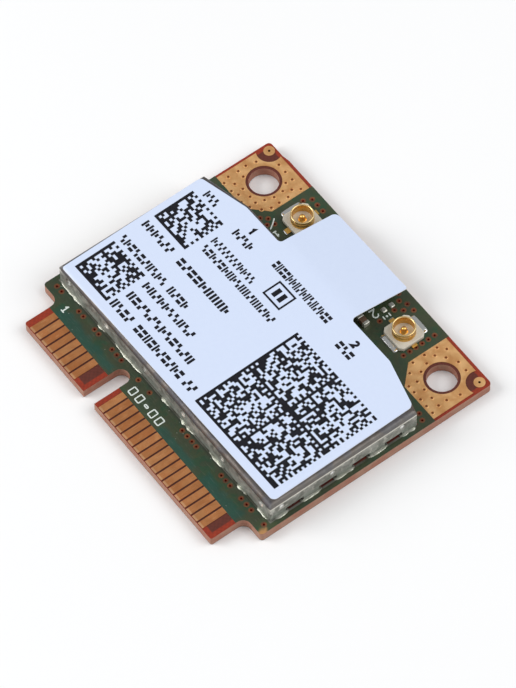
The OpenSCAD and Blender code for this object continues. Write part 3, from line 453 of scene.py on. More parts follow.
class Wires:
    """A node tree while its nodes are placed and joined."""

    def __init__(self, tree):
        self.tree = tree

    def add(self, kind, inputs=None, **settings):
        node = self.tree.nodes.new(kind)
        for key, value in settings.items():
            setattr(node, key, value)
        for key, value in (inputs or {}).items():
            self.feed(node.inputs[key], value)
        return node

    def feed(self, socket, value):
        if isinstance(value, bpy.types.NodeSocket):
            self.tree.links.new(value, socket)
        elif socket.type == "RGBA" and len(value) == 3:
            socket.default_value = (*value, 1.0)
        else:
            socket.default_value = value

    def math(self, operation, a, b=0.0, c=0.0):
        node = self.add("ShaderNodeMath", {0: a, 1: b, 2: c}, operation=operation)
        return node.outputs[0]

    def vector(self, operation, a, b=(0.0, 0.0, 0.0)):
        node = self.add("ShaderNodeVectorMath", {0: a}, operation=operation)
        self.feed(node.inputs[3 if operation == "SCALE" else 1], b)
        return node.outputs[0]

    def split(self, value):
        return self.add("ShaderNodeSeparateXYZ", {0: value}).outputs

    def fade(self, value, start, end, low=0.0, high=1.0):
        """Low where the value is at start, high where it is at end, and a smooth step between."""
        node = self.add(
            "ShaderNodeMapRange",
            {"Value": value, "From Min": start, "From Max": end, "To Min": low, "To Max": high},
            interpolation_type="SMOOTHSTEP",
        )
        return node.outputs[0]

    def mix(self, share, a, b):
        node = self.add("ShaderNodeMix", data_type="RGBA", clamp_factor=True)
        self.feed(node.inputs[0], share)
        self.feed(node.inputs[6], a)
        self.feed(node.inputs[7], b)
        return node.outputs[2]

    def tint(self, base, mask, most, colour):
        """The base with a colour over it, as strongly as the mask times the most it may be."""
        return self.mix(self.math("MULTIPLY", mask, most), base, colour)

    def noise(self, place, scale, detail=3.0, roughness=0.55, distortion=0.0):
        node = self.add("ShaderNodeTexNoise", {
            "Vector": place, "Scale": scale, "Detail": detail, "Roughness": roughness,
            "Distortion": distortion,
        })
        return node.outputs[0]

    def shared(self, group, **values):
        """Places a shared group and returns its outputs."""
        node = self.add("ShaderNodeGroup")
        node.node_tree = group
        for key, value in values.items():
            self.feed(node.inputs[key.replace("_", " ").title()], value)
        return node.outputs


class Finish(Wires):
    """A material with one Principled BSDF. Its place is the object's own, in millimetres."""

    def __init__(self, name, **constants):
        self.material = bpy.data.materials.new(name)
        self.material.use_nodes = True
        super().__init__(self.material.node_tree)
        self.tree.nodes.clear()
        self.shader = self.add("ShaderNodeBsdfPrincipled")
        output = self.add("ShaderNodeOutputMaterial")
        self.tree.links.new(self.shader.outputs[0], output.inputs["Surface"])
        own = self.add("ShaderNodeTexCoord")
        self.place = self.vector("SCALE", own.outputs["Object"], 1000.0)
        for key, value in constants.items():
            self.set(key, value)

    def set(self, key, value):
        self.feed(self.shader.inputs[key.replace("_", " ").title().replace("Ior", "IOR")], value)

    def effect(self, name, **values):
        """Outputs of a shared effect that is laid out over the piece."""
        return self.shared(GROUPS[name], place=self.place, **values)

    def relief(self, height, distance, strength):
        """Bump of so many millimetres."""
        bump = self.add(
            "ShaderNodeBump", {"Height": height, "Distance": distance * MM, "Strength": strength}
        )
        self.feed(self.shader.inputs["Normal"], bump.outputs["Normal"])


def make_group(name, inputs, outputs, wire):
    """A shared effect: a node group with named sockets, wired by a function."""
    tree = bpy.data.node_groups.new(name, "ShaderNodeTree")
    for label, kind, value in inputs:
        socket = tree.interface.new_socket(name=label, in_out="INPUT", socket_type=kind)
        socket.default_value = value
    for label in outputs:
        tree.interface.new_socket(name=label, in_out="OUTPUT", socket_type="NodeSocketFloat")
    given = tree.nodes.new("NodeGroupInput").outputs
    result = tree.nodes.new("NodeGroupOutput").inputs
    wire(Wires(tree), given, result)
    return tree


NUMBER, POINT = "NodeSocketFloat", "NodeSocketVector"


def wire_field(w, given, result):
    """1 inside a box and 0 outside, from the largest of the distances beyond its half sizes."""
    offset = w.vector("ABSOLUTE", w.vector("SUBTRACT", given["Place"], given["Middle"]))
    x, y, z = w.split(w.vector("SUBTRACT", offset, given["Half Size"]))
    most = w.math("MAXIMUM", w.math("MAXIMUM", x, y), z)
    inner = w.math("MULTIPLY", given["Softness"], -1.0)
    w.feed(result["Mask"], w.fade(most, given["Softness"], inner))


def wire_grain(w, given, result):
    """A fine and a broad noise, summed for colour and apart for relief."""
    fine = w.noise(given["Place"], given["Scale"], 4.0, 0.6)
    broad = w.noise(given["Place"], w.math("MULTIPLY", given["Scale"], 0.12), 3.0, 0.5, 0.4)
    fine_part, broad_part = w.math("MULTIPLY", fine, 0.45), w.math("MULTIPLY", broad, 0.55)
    w.feed(result["Shade"], w.math("ADD", fine_part, broad_part))
    w.feed(result["Height"], fine)
    w.feed(result["Broad"], broad)


def wire_stain(w, given, result):
    """Patches where a broad noise rises above what leaves the wanted share covered."""
    cloud = w.noise(given["Place"], given["Scale"], 5.0, 0.62, 0.6)
    level = w.math("SUBTRACT", 0.72, w.math("MULTIPLY", given["Cover"], 0.44))
    start = w.math("SUBTRACT", level, given["Softness"])
    end = w.math("ADD", level, given["Softness"])
    w.feed(result["Mask"], w.fade(cloud, start, end))


def wire_weave(w, given, result):
    """Crossed threads: a half plus half the product of the sines of X and Y over one pitch."""
    x, y, _ = w.split(w.vector("SCALE", given["Place"], 2 * math.pi))
    across = w.math("SINE", w.math("DIVIDE", x, given["Pitch"]))
    along = w.math("SINE", w.math("DIVIDE", y, given["Pitch"]))
    w.feed(result["Shade"], w.math("MULTIPLY_ADD", w.math("MULTIPLY", across, along), 0.5, 0.5))


def wire_specks(w, given, result):
    """Small flecks: cells of which a few hold a dot round their middle."""
    spots = w.add("ShaderNodeTexVoronoi", {"Vector": given["Place"], "Scale": given["Scale"]})
    near = w.fade(spots.outputs["Distance"], given["Size"], w.math("MULTIPLY", given["Size"], 0.6))
    chance = w.split(w.vector("SCALE", spots.outputs["Color"], 1.0))[0]
    w.feed(result["Mask"], w.math("MULTIPLY", near, w.math("LESS_THAN", chance, given["Share"])))


def wire_rubbed(w, given, result):
    """Long fine scratches: a noise that is stretched by a different factor on each axis."""
    stretched = w.vector("MULTIPLY", given["Place"], given["Stretch"])
    lines = w.noise(stretched, 1.0, 3.0, 0.6)
    w.feed(result["Mask"], w.fade(lines, 0.56, 0.7))
    w.feed(result["Height"], lines)


def wire_walls(w, given, result):
    """1 on upright faces and 0 on level ones."""
    normal = w.add("ShaderNodeNewGeometry").outputs["True Normal"]
    level = w.math("ABSOLUTE", w.split(normal)[2])
    w.feed(result["Mask"], w.fade(level, 0.75, 0.35))


def scaled(colour, factor):
    """A colour made darker or lighter by a factor."""
    return tuple(factor * part for part in colour)


GROUPS = {}


def make_groups():
    """Builds the effects that several finishes share, each from its inputs and outputs."""
    place = ("Place", POINT, (0, 0, 0))
    table = {
        "field": ([place, ("Middle", POINT, (0, 0, 0)), ("Half Size", POINT, (1, 1, 1)),
                   ("Softness", NUMBER, 0.1)], ["Mask"], wire_field),
        "grain": ([place, ("Scale", NUMBER, 10.0)], ["Shade", "Height", "Broad"], wire_grain),
        "stain": ([place, ("Scale", NUMBER, 0.5), ("Cover", NUMBER, 0.5),
                   ("Softness", NUMBER, 0.06)], ["Mask"], wire_stain),
        "weave": ([place, ("Pitch", NUMBER, 0.5)], ["Shade"], wire_weave),
        "specks": ([place, ("Scale", NUMBER, 2.0), ("Size", NUMBER, 0.1),
                    ("Share", NUMBER, 0.2)], ["Mask"], wire_specks),
        "rubbed": ([place, ("Stretch", POINT, (1, 1, 1))], ["Mask", "Height"], wire_rubbed),
        "walls": ([], ["Mask"], wire_walls),
    }
    for name, (inputs, outputs, wire) in table.items():
        GROUPS[name] = make_group("card " + name, inputs, outputs, wire)


def laminate_finish(look):
    """Glass laminate: red resin, dark over the inner copper, with painted shade in the gaps between
    the contacts, pale and fibrous on cut walls.
    """
    m = Finish("laminate", ior=1.5, specular_ior_level=0.3)
    inner = field_sum(m, m.place, INNER_COPPER, THROUGH, 0.05)
    left, right = (((count - 1) * CONTACT_PITCH + CONTACT_WIDTH) / 2
                   for count in (LEFT_CONTACTS, RIGHT_CONTACTS))
    rows = [(CONTACT_LOW[0] + left, left, *CONTACT_FIELD),
            (CONTACT_HIGH[0] - right, right, *CONTACT_FIELD)]
    # Painted shade: the resin between the contacts darkened
    shaded_gaps = field_sum(m, m.place, rows, THROUGH, 0.03)
    weave = m.effect("weave", pitch=0.42)["Shade"]
    grain = m.effect("grain", scale=14.0)
    flat = m.mix(inner, look.laminate_red, look.laminate_dark)
    shade = m.math("MULTIPLY_ADD", weave, 0.16, m.math("MULTIPLY", grain["Shade"], 0.5))
    flat = m.mix(m.fade(shade, 0.2, 0.46), m.mix(0.3, flat, (0.02, 0.01, 0.008)), flat)
    flat = m.tint(flat, shaded_gaps, 0.8, look.gap)
    fibres = m.effect("rubbed", stretch=(1.4, 1.4, 22.0))
    wall = m.mix(fibres["Mask"], look.wall, m.mix(0.45, look.wall, look.laminate_red))
    height = m.split(m.place)[2]
    ply = m.math("PINGPONG", m.math("SUBTRACT", height, 0.04), 0.23)
    wall = m.mix(m.fade(ply, 0.03, 0.0, 0.0, 0.35), wall, look.laminate_dark)
    stain = m.effect("stain", scale=0.7, cover=0.5, softness=0.1)["Mask"]
    wall = m.tint(wall, stain, 0.28, look.laminate_red)
    upright = m.shared(GROUPS["walls"])["Mask"]
    m.set("base_color", m.mix(upright, flat, wall))
    rough = m.fade(grain["Shade"], 0.3, 0.7, 0.34, 0.48)
    m.set("roughness", m.math("MULTIPLY_ADD", upright, 0.25, rough))
    threads = m.math("MULTIPLY", fibres["Height"], upright)
    m.relief(m.math("MULTIPLY_ADD", weave, 0.4, threads), 0.02, 0.6)
    return m.material


def field_sum(m, place, fields, span, softness):
    """1 inside any of several level fields that reach over a span of Z, and 0 elsewhere."""
    z, half_z = (span[0] + span[1]) / 2, (span[1] - span[0]) / 2
    total = 0.0
    for x, half_x, depth, half_depth in fields:
        mask = m.shared(GROUPS["field"], place=place, middle=(x, on_board(depth), z),
                        half_size=(half_x, half_depth, half_z), softness=softness)["Mask"]
        total = m.math("MAXIMUM", total, mask)
    return total


def varnish_finish(look):
    """Green solder mask: teal over bare laminate, olive over copper, with dust and wear, and a
    painted shadow on the mask along the foot of the lid.
    """
    m = Finish("solder mask", ior=1.5, specular_ior_level=0.35, coat_roughness=0.12, coat_ior=1.3)
    cloud = m.add("ShaderNodeTexNoise", {"Vector": m.place, "Scale": 0.9, "Detail": 3.0})
    push = m.vector("SCALE", m.vector("SUBTRACT", cloud.outputs["Color"], (0.5, 0.5, 0.5)), 1.1)
    place = m.vector("ADD", m.place, push)
    teal = field_sum(m, place, BARE_LAMINATE, THROUGH, 0.25)
    olive = m.effect("stain", scale=0.55, cover=0.55, softness=0.06)["Mask"]
    base = m.mix(olive, look.varnish, look.varnish_olive)
    pours = m.add("ShaderNodeTexVoronoi", {"Vector": place, "Scale": 0.9},
                  distance="CHEBYCHEV", feature="F1")
    pour = m.split(m.vector("SCALE", pours.outputs["Color"], 1.0))[0]
    base = m.mix(m.fade(pour, 0.35, 0.45, 0.0, 0.5), base, look.varnish_pour)
    traces = m.math("PINGPONG", m.math("ADD", m.split(place)[0], m.split(m.place)[1]), 0.45)
    traced = m.math("MULTIPLY", m.fade(traces, 0.08, 0.04), m.fade(pour, 0.55, 0.6))
    base = m.tint(base, traced, 0.4, look.varnish_olive)
    base = m.tint(base, teal, 0.75, look.varnish_teal)
    grain = m.effect("grain", scale=9.0)
    base = m.mix(m.fade(grain["Shade"], 0.35, 0.65, 0.0, 0.35), base, (0.012, 0.03, 0.018))
    # Painted shadow: the mask darkened in a band along the foot of the lid
    foot = field_sum(m, m.place, PAINTED_SHADOW_LINE, UPPER_FACE, 0.2)
    base = m.tint(base, foot, 0.75, (0.012, 0.014, 0.01))
    edge = field_sum(m, place, WORN_CORNER, UPPER_FACE, 0.22)
    base = m.tint(base, edge, 0.9, look.wear)
    dust = m.effect("specks", scale=2.8, size=0.1, share=0.2)["Mask"]
    hair = m.effect("rubbed", stretch=(1.0, 9.0, 3.0))["Mask"]
    front = field_sum(m, m.place, DUSTY_FRONT, UPPER_FACE, 0.2)
    marks = m.math("MULTIPLY", m.math("MAXIMUM", dust, m.math("MULTIPLY", hair, 0.06)), front)
    base = m.tint(base, marks, 0.8, (0.5, 0.52, 0.48))
    upright = m.shared(GROUPS["walls"])["Mask"]
    m.set("base_color", m.tint(base, upright, 0.5, look.wall))
    m.set("roughness", m.fade(grain["Shade"], 0.3, 0.7, 0.38, 0.55))
    m.set("coat_weight", m.math("SUBTRACT", 0.3, m.math("MULTIPLY", marks, 0.3)))
    weave = m.effect("weave", pitch=0.5)["Shade"]
    bumps = m.math("MULTIPLY", grain["Height"], 0.5)
    m.relief(m.math("MULTIPLY_ADD", weave, 0.3, bumps), 0.008, 0.5)
    return m.material


def contact_finish(look):
    """Worn contacts, each a little different: dull gold over copper, rubbed along their length,
    with a painted highlight along the tip."""
    m = Finish("contact gold", metallic=0.9)
    x, y, _ = m.split(m.place)
    steps = m.math("DIVIDE", m.math("SUBTRACT", x, CONTACT_LOW[0] - 0.1), CONTACT_PITCH)
    own = m.add("ShaderNodeTexWhiteNoise", {"W": m.math("FLOOR", steps)}, noise_dimensions="1D")
    rubbed = m.effect("rubbed", stretch=(14.0, 0.8, 1.0))
    grain = m.effect("grain", scale=11.0)
    stain = m.effect("stain", scale=0.8, cover=0.5, softness=0.12)["Mask"]
    base = m.mix(own.outputs["Value"], look.contact, look.contact_deep)
    base = m.tint(base, stain, 0.45, look.contact_red)
    base = m.tint(base, rubbed["Mask"], 0.4, look.contact_rubbed_and_highlight)
    # Painted highlight: a bright band along the tip of each contact
    tip = m.fade(y, on_board(0.3), on_board(0.18))
    base = m.tint(base, tip, 0.6, look.contact_rubbed_and_highlight)
    base = m.mix(m.fade(grain["Height"], 0.55, 0.75, 0.0, 0.35), base, (0.2, 0.08, 0.03))
    m.set("base_color", base)
    m.set("roughness", m.fade(grain["Shade"], 0.35, 0.65, 0.36, 0.54))
    m.relief(m.math("ADD", rubbed["Height"], grain["Height"]), 0.006, 0.7)
    return m.material


def pad_finish(look):
    """Bare pad copper: even, warm, a little tarnished, with a painted highlight on the via rims and
    dark red-brown down in the vias, darkened further as painted shade.
    """
    m = Finish("pad copper", metallic=0.8)
    grain = m.effect("grain", scale=8.0)
    stain = m.effect("stain", scale=0.9, cover=0.42, softness=0.12)["Mask"]
    base = m.mix(m.fade(grain["Broad"], 0.35, 0.65), look.pad, look.pad_pale)
    base = m.tint(base, stain, 0.5, look.pad_red)
    spots = m.effect("specks", scale=1.9, size=0.12, share=0.06)["Mask"]
    base = m.tint(base, spots, 0.5, (0.2, 0.09, 0.04))
    height = m.split(m.place)[2]
    # Painted highlight: the raised via rims made paler
    rim_highlight = m.math("MAXIMUM", m.fade(height, COPPER_TOP + 0.012, COPPER_TOP + 0.03),
                    m.fade(height, -0.006, -0.016))
    base = m.tint(base, rim_highlight, 0.35, look.pad_rim_highlight)
    # Dark red-brown via floor, darkened as painted shade in the pit
    low = m.fade(height, COPPER_TOP - 0.012, COPPER_TOP - 0.05)
    pit_shade = m.math("MULTIPLY", low, m.fade(height, 0.012, 0.05))
    base = m.tint(base, pit_shade, 0.85, look.pad_pit_and_shade)
    m.set("base_color", base)
    m.set("roughness", m.fade(grain["Shade"], 0.3, 0.7, 0.4, 0.58))
    m.relief(grain["Height"], 0.006, 0.6)
    return m.material


def via_finish(look):
    """Via plating, dark red inside and dull brown on the ring."""
    m = Finish("via copper", metallic=0.3, specular_ior_level=0.3)
    grain = m.effect("grain", scale=16.0)
    upright = m.shared(GROUPS["walls"])["Mask"]
    worn = m.mix(0.35, look.ring, look.contact_red)
    base = m.mix(m.fade(grain["Shade"], 0.35, 0.65), look.ring, worn)
    m.set("base_color", m.mix(upright, base, look.via_wall))
    m.set("roughness", m.fade(grain["Height"], 0.3, 0.7, 0.45, 0.65))
    m.relief(grain["Height"], 0.006, 0.6)
    return m.material


def steel_finish(look):
    """Tinned steel sheet: a mottled painted dark reflection over the bend, then a painted highlight
    line along the side walls, and below that grey sheet with dull and pale patches, painted shade
    on the side walls and painted highlights in the dimples."""
    m = Finish("shield steel", metallic=0.7, specular_ior_level=0.4)
    grain = m.effect("grain", scale=7.0)
    streaks = m.effect("rubbed", stretch=(1.6, 1.6, 9.0))
    stain = m.effect("stain", scale=0.8, cover=0.5, softness=0.1)["Mask"]
    pale = m.effect("stain", scale=1.5, cover=0.36, softness=0.04)["Mask"]
    x, _, height = m.split(m.place)
    # Painted shade: the side walls darker than the front
    side = m.fade(m.math("ABSOLUTE", x), LID_HIGH[0] - 0.3, LID_HIGH[0] - 0.12)
    sheet = m.tint(look.steel, side, 0.55, look.steel_side_shade)
    sheet = m.tint(sheet, stain, 0.75, look.steel_dark)
    sheet = m.tint(sheet, streaks["Mask"], 0.4, look.steel_dark)
    sheet = m.tint(sheet, pale, 0.45, look.steel_pale_and_highlight)
    foot = m.fade(height, MASK_TOP + 1.0, MASK_TOP + 0.4, 0.0, 0.4)
    sheet = m.mix(foot, sheet, look.steel_foot)
    # Painted dark reflection: the bent edge darkened and mottled
    bend_reflection = m.mix(m.fade(grain["Broad"], 0.4, 0.6), look.bend_reflection, look.bend_reflection_mottled)
    bend_reflection = m.tint(bend_reflection, side, 0.15, look.steel)
    ragged = m.math("MULTIPLY_ADD", grain["Broad"], 0.2, height)
    bent = m.fade(ragged, LID_TOP - 0.5, LID_TOP - 0.3)
    base = m.tint(sheet, bent, 0.92, bend_reflection)
    # Painted highlight: a pale line under the bend, strongest on the side walls
    line = m.math("MULTIPLY", m.fade(height, LID_TOP - 0.64, LID_TOP - 0.58),
                  m.fade(height, LID_TOP - 0.4, LID_TOP - 0.46))
    base = m.tint(base, line, m.math("MULTIPLY_ADD", side, 0.85, 0.05), look.steel_pale_and_highlight)
    # Painted highlight: near-white spots in the dimples
    highlight_spots = dimple_highlights(m)
    base = m.tint(base, highlight_spots, 0.9, (1.0, 1.0, 0.97))
    base = m.mix(m.fade(grain["Height"], 0.6, 0.75, 0.0, 0.35), base, look.steel_dark)
    m.set("base_color", base)
    rough = m.fade(grain["Shade"], 0.35, 0.65, 0.3, 0.5)
    rough = m.math("MULTIPLY_ADD", bent, 0.14, rough)
    m.set("roughness", m.math("MULTIPLY", rough, m.math("MULTIPLY_ADD", highlight_spots, -0.4, 1.0)))
    m.relief(m.math("MULTIPLY_ADD", grain["Broad"], 2.5, streaks["Height"]), 0.035, 0.8)
    return m.material


def dimple_highlights(m):
    """1 in the middle of each dimple, where a highlight is painted: by the distance to the nearest
    of the front ones, which repeat along X, and to each side one."""
    pitch = 2 * (LID_HIGH[0] - DIMPLE_SIDE_GAP) / (FRONT_DIMPLES - 1)
    x, y, height = m.split(m.place)
    up = m.math("SUBTRACT", height, DIMPLE_Z)
    along = m.math("PINGPONG", m.math("ADD", x, pitch / 2), pitch / 2)
    off_wall = m.math("SUBTRACT", y, LID_LOW[1] + 0.1)
    near = m.math("MINIMUM", 9.0, distance(m, along, up, off_wall))
    off_side = m.math("SUBTRACT", m.math("ABSOLUTE", x), LID_HIGH[0] - 0.1)
    for depth in SIDE_DIMPLES:
        off_middle = m.math("SUBTRACT", y, on_board(depth))
        near = m.math("MINIMUM", near, distance(m, off_middle, up, off_side))
    return m.fade(near, 0.27, 0.12)


def distance(m, x, y, z):
    """Length of the vector of three offsets."""
    offset = m.add("ShaderNodeCombineXYZ", {0: x, 1: y, 2: z}).outputs[0]
    return m.add("ShaderNodeVectorMath", {0: offset}, operation="LENGTH").outputs["Value"]


def land_finish(look):
    """Copper land under the shield: red-brown under the lid, darkened as painted shade, and tinned
    outside the lid.
    """
    m = Finish("bare land", metallic=0.3, specular_ior_level=0.3)
    grain = m.effect("grain", scale=6.0)
    inset = 0.06
    half_x, half_y, _ = (LID_HIGH - LID_LOW) / 2
    lid = [(0.0, half_x - inset, LID_LOW[1] - BOARD_FRONT + half_y, half_y - inset)]
    under = field_sum(m, m.place, lid, THROUGH, 0.03)
    # Painted shade: the copper darkened where the lid covers it
    bare_in_shade = m.mix(m.fade(grain["Broad"], 0.35, 0.65), look.window, scaled(look.window, 0.5))
    tinned = m.mix(m.fade(grain["Broad"], 0.35, 0.65), look.land, look.steel_dark)
    m.set("base_color", m.mix(under, tinned, bare_in_shade))
    m.set("roughness", m.fade(grain["Height"], 0.35, 0.65, 0.45, 0.65))
    m.relief(grain["Height"], 0.01, 0.6)
    return m.material


def frame_finish(look):
    """The frame's sheet, which shows only down in the windows: dull, and dark red-brown low down
    as painted shade.
    """
    m = Finish("shield frame", metallic=0.3, specular_ior_level=0.3)
    grain = m.effect("grain", scale=6.0)
    height = m.split(m.place)[2]
    # Painted shade: the frame's low part made dark red-brown, as the windows show it
    low_window_band = m.fade(height, MASK_TOP + 0.75, MASK_TOP + 0.5)
    sheet = m.mix(m.fade(grain["Broad"], 0.35, 0.65), look.steel_dark, look.steel)
    darker_window_red = m.mix(0.5, look.window, look.bend_reflection)
    flux = m.mix(m.fade(grain["Shade"], 0.35, 0.65), look.window, darker_window_red)
    m.set("base_color", m.mix(low_window_band, sheet, flux))
    m.set("roughness", m.fade(grain["Height"], 0.35, 0.65, 0.4, 0.6))
    m.relief(grain["Height"], 0.01, 0.6)
    return m.material


def solder_finish(look, name, clean, flux):
    """Set solder: dull, with flux in the hollows and a painted highlight along the thin edge at its
    foot.
    """
    m = Finish(name, metallic=0.75, specular_ior_level=0.5)
    grain = m.effect("grain", scale=9.0)
    stain = m.effect("stain", scale=1.3, cover=0.5, softness=0.1)["Mask"]
    base = m.tint(clean, stain, 0.7, flux)
    height = m.split(m.place)[2]
    # Painted highlight: a bright thin edge where the solder meets the mask
    foot = m.math("MULTIPLY", m.fade(height, MASK_TOP + 0.06, MASK_TOP + 0.02), stain)
    base = m.tint(base, foot, 0.3, look.bright_solder_and_highlight)
    m.set("base_color", base)
    m.set("roughness", m.fade(grain["Shade"], 0.35, 0.65, 0.26, 0.5))
    m.relief(m.math("MULTIPLY_ADD", grain["Broad"], 2.0, grain["Height"]), 0.03, 0.8)
    return m.material


def paper_finish(look):
    """Coated label stock: pale blue face, white cut edges, and a very fine tooth."""
    m = Finish("label paper", ior=1.45, coat_roughness=0.35)
    grain = m.effect("grain", scale=18.0)
    upright = m.shared(GROUPS["walls"])["Mask"]
    face = m.mix(m.fade(grain["Broad"], 0.3, 0.7, 0.0, 0.5), look.paper, look.paper_shade)
    scuffs = m.effect("specks", scale=0.35, size=0.035, share=0.35)["Mask"]
    face = m.tint(face, scuffs, 0.35, (0.35, 0.34, 0.36))
    m.set("base_color", m.mix(upright, face, look.paper_edge))
    m.set("roughness", m.fade(grain["Shade"], 0.3, 0.7, 0.42, 0.55))
    m.set("coat_weight", 0.12)
    m.relief(grain["Height"], 0.004, 0.35)
    return m.material


def ink_finish(look):
    """Printed ink: near black, a little patchy and nearly matt."""
    m = Finish("label ink", ior=1.45, specular_ior_level=0.2)
    grain = m.effect("grain", scale=16.0)
    m.set("base_color", m.mix(m.fade(grain["Shade"], 0.35, 0.7), look.ink, look.ink_worn))
    m.set("roughness", m.fade(grain["Height"], 0.3, 0.7, 0.5, 0.7))
    m.relief(grain["Height"], 0.003, 0.4)
    return m.material


def silk_finish(look):
    """Screen-printed board ink: white, thin, with the green showing through its pits."""
    m = Finish("board ink", ior=1.45)
    grain = m.effect("grain", scale=13.0)
    pits = m.fade(grain["Height"], 0.56, 0.7)
    m.set("base_color", m.tint(look.silk, pits, 0.6, look.varnish))
    m.set("roughness", m.fade(grain["Shade"], 0.3, 0.7, 0.5, 0.7))
    m.relief(grain["Height"], 0.006, 0.6)
    return m.material


def gold_finish(look):
    """Gold plate on the sockets: turned rings, bright at the rim and browner towards the foot."""
    m = Finish("socket gold", metallic=1.0)
    grain = m.effect("grain", scale=14.0)
    rings = m.effect("rubbed", stretch=(1.2, 1.2, 30.0))
    base = m.mix(m.fade(grain["Broad"], 0.35, 0.7), look.gold, look.gold_deep)
    base = m.tint(base, rings["Mask"], 0.3, look.gold_bright)
    height = m.split(m.place)[2]
    rim = m.fade(height, MASK_TOP + 1.14, MASK_TOP + 1.22)
    base = m.tint(base, rim, 0.7, look.gold_bright)
    deep = m.fade(height, MASK_TOP + 0.9, MASK_TOP + 0.45, 0.0, 0.5)
    base = m.mix(deep, base, look.gold_deep)
    m.set("base_color", base)
    m.set("roughness", m.fade(grain["Shade"], 0.35, 0.65, 0.24, 0.4))
    m.relief(m.math("ADD", grain["Height"], rings["Height"]), 0.008, 0.5)
    return m.material


def moulding_finish(name, colour, shade, scale, rough):
    """Moulded resin, plastic or ceramic: a fine even grain between a colour and its shade."""
    m = Finish(name, ior=1.5)
    grain = m.effect("grain", scale=scale)
    m.set("base_color", m.mix(m.fade(grain["Shade"], 0.3, 0.7), colour, shade))
    m.set("roughness", m.fade(grain["Height"], 0.3, 0.7, rough, rough + 0.18))
    m.relief(grain["Height"], 0.01, 0.5)
    return m.material


def floor_finish(look):
    """Pale matt floor with the faintest unevenness."""
    m = Finish("studio floor")
    cloud = m.noise(m.place, 0.01, 2.0)
    m.set("base_color", m.mix(m.fade(cloud, 0.3, 0.7), look.floor, scaled(look.floor, 0.985)))
    m.set("roughness", m.fade(cloud, 0.3, 0.7, 0.85, 0.92))
    return m.material


# Settings that a user would change


def colour(name, description, value):
    """A colour, as linear red, green and blue."""
    return FloatVectorProperty(
        name=name, description=description, default=value, size=3, subtype="COLOR", min=0, max=1
    )


def length(name, description, value, low, high):
    """A length in millimetres."""
    return FloatProperty(
        name=name, description=description + ", in millimetres", default=value, min=low, max=high
    )


def light(name, description, value):
    """Strength or power of a light."""
    return FloatProperty(name=name, description=description, default=value, min=0)


class CARD_PG_board(bpy.types.PropertyGroup):
    laminate_red: colour("Laminate", "Resin with no copper under it", (0.3, 0.034, 0.013))
    laminate_dark: colour("Laminate, dark", "Resin over the inner copper", (0.12, 0.028, 0.018))
    # Painted shade: resin darkened between the contacts
    gap: colour("Contact gap", "Resin in the gaps between the contacts", (0.05, 0.014, 0.008))
    wall: colour("Cut wall", "Routed walls of the board", (0.38, 0.205, 0.14))
    varnish: colour("Solder mask", "Solder mask on the whole", (0.022, 0.062, 0.027))
    varnish_olive: colour("Mask over copper", "Solder mask over copper", (0.045, 0.06, 0.024))
    varnish_pour: colour("Mask over a pour", "Mask over broad copper areas", (0.05, 0.052, 0.028))
    varnish_teal: colour("Mask, teal", "Solder mask over bare laminate", (0.009, 0.068, 0.05))
    wear: colour("Worn corner", "Copper that shows at the worn shoulder", (0.45, 0.22, 0.08))
    contact: colour("Contacts", "Face of the edge contacts", (0.66, 0.3, 0.12))
    contact_deep: colour("Contacts, deep", "Deeper coloured contacts", (0.54, 0.215, 0.078))
    contact_red: colour("Tarnish", "Redder copper in stains", (0.5, 0.16, 0.05))
    # Rubbed copper, and the painted highlight at the contacts' tip
    contact_rubbed_and_highlight: colour("Rubbed", "Bright rubbed copper", (0.82, 0.5, 0.27))
    pad: colour("Pads", "Copper of the mounting pads", (0.76, 0.42, 0.17))
    pad_pale: colour("Pads, pale", "Paler copper on the pads", (0.84, 0.51, 0.23))
    pad_red: colour("Pads, red", "Redder copper in stains", (0.6, 0.25, 0.08))
    # Painted highlight on the via rims
    pad_rim_highlight: colour("Pad rims", "Raised rims of the pad's vias", (0.9, 0.6, 0.3))
    # Dark red-brown via floor with painted shade
    pad_pit_and_shade: colour("Pad pits", "Floor of the pad's vias", (0.24, 0.055, 0.016))
    ring: colour("Via rings", "Rings of the board vias", (0.095, 0.045, 0.025))
    via_wall: colour("Via walls", "Plated walls of the board vias", (0.5, 0.07, 0.035))
    silk: colour("Board ink", "Screen-printed marks", (0.72, 0.78, 0.74))
    rim_radius: length("Via rim", "Radius of the raised rim of a pad's via", 0.165, 0.1, 0.25)
    rim_height: length("Via rim height", "How far that rim stands up", 0.025, 0.01, 0.06)


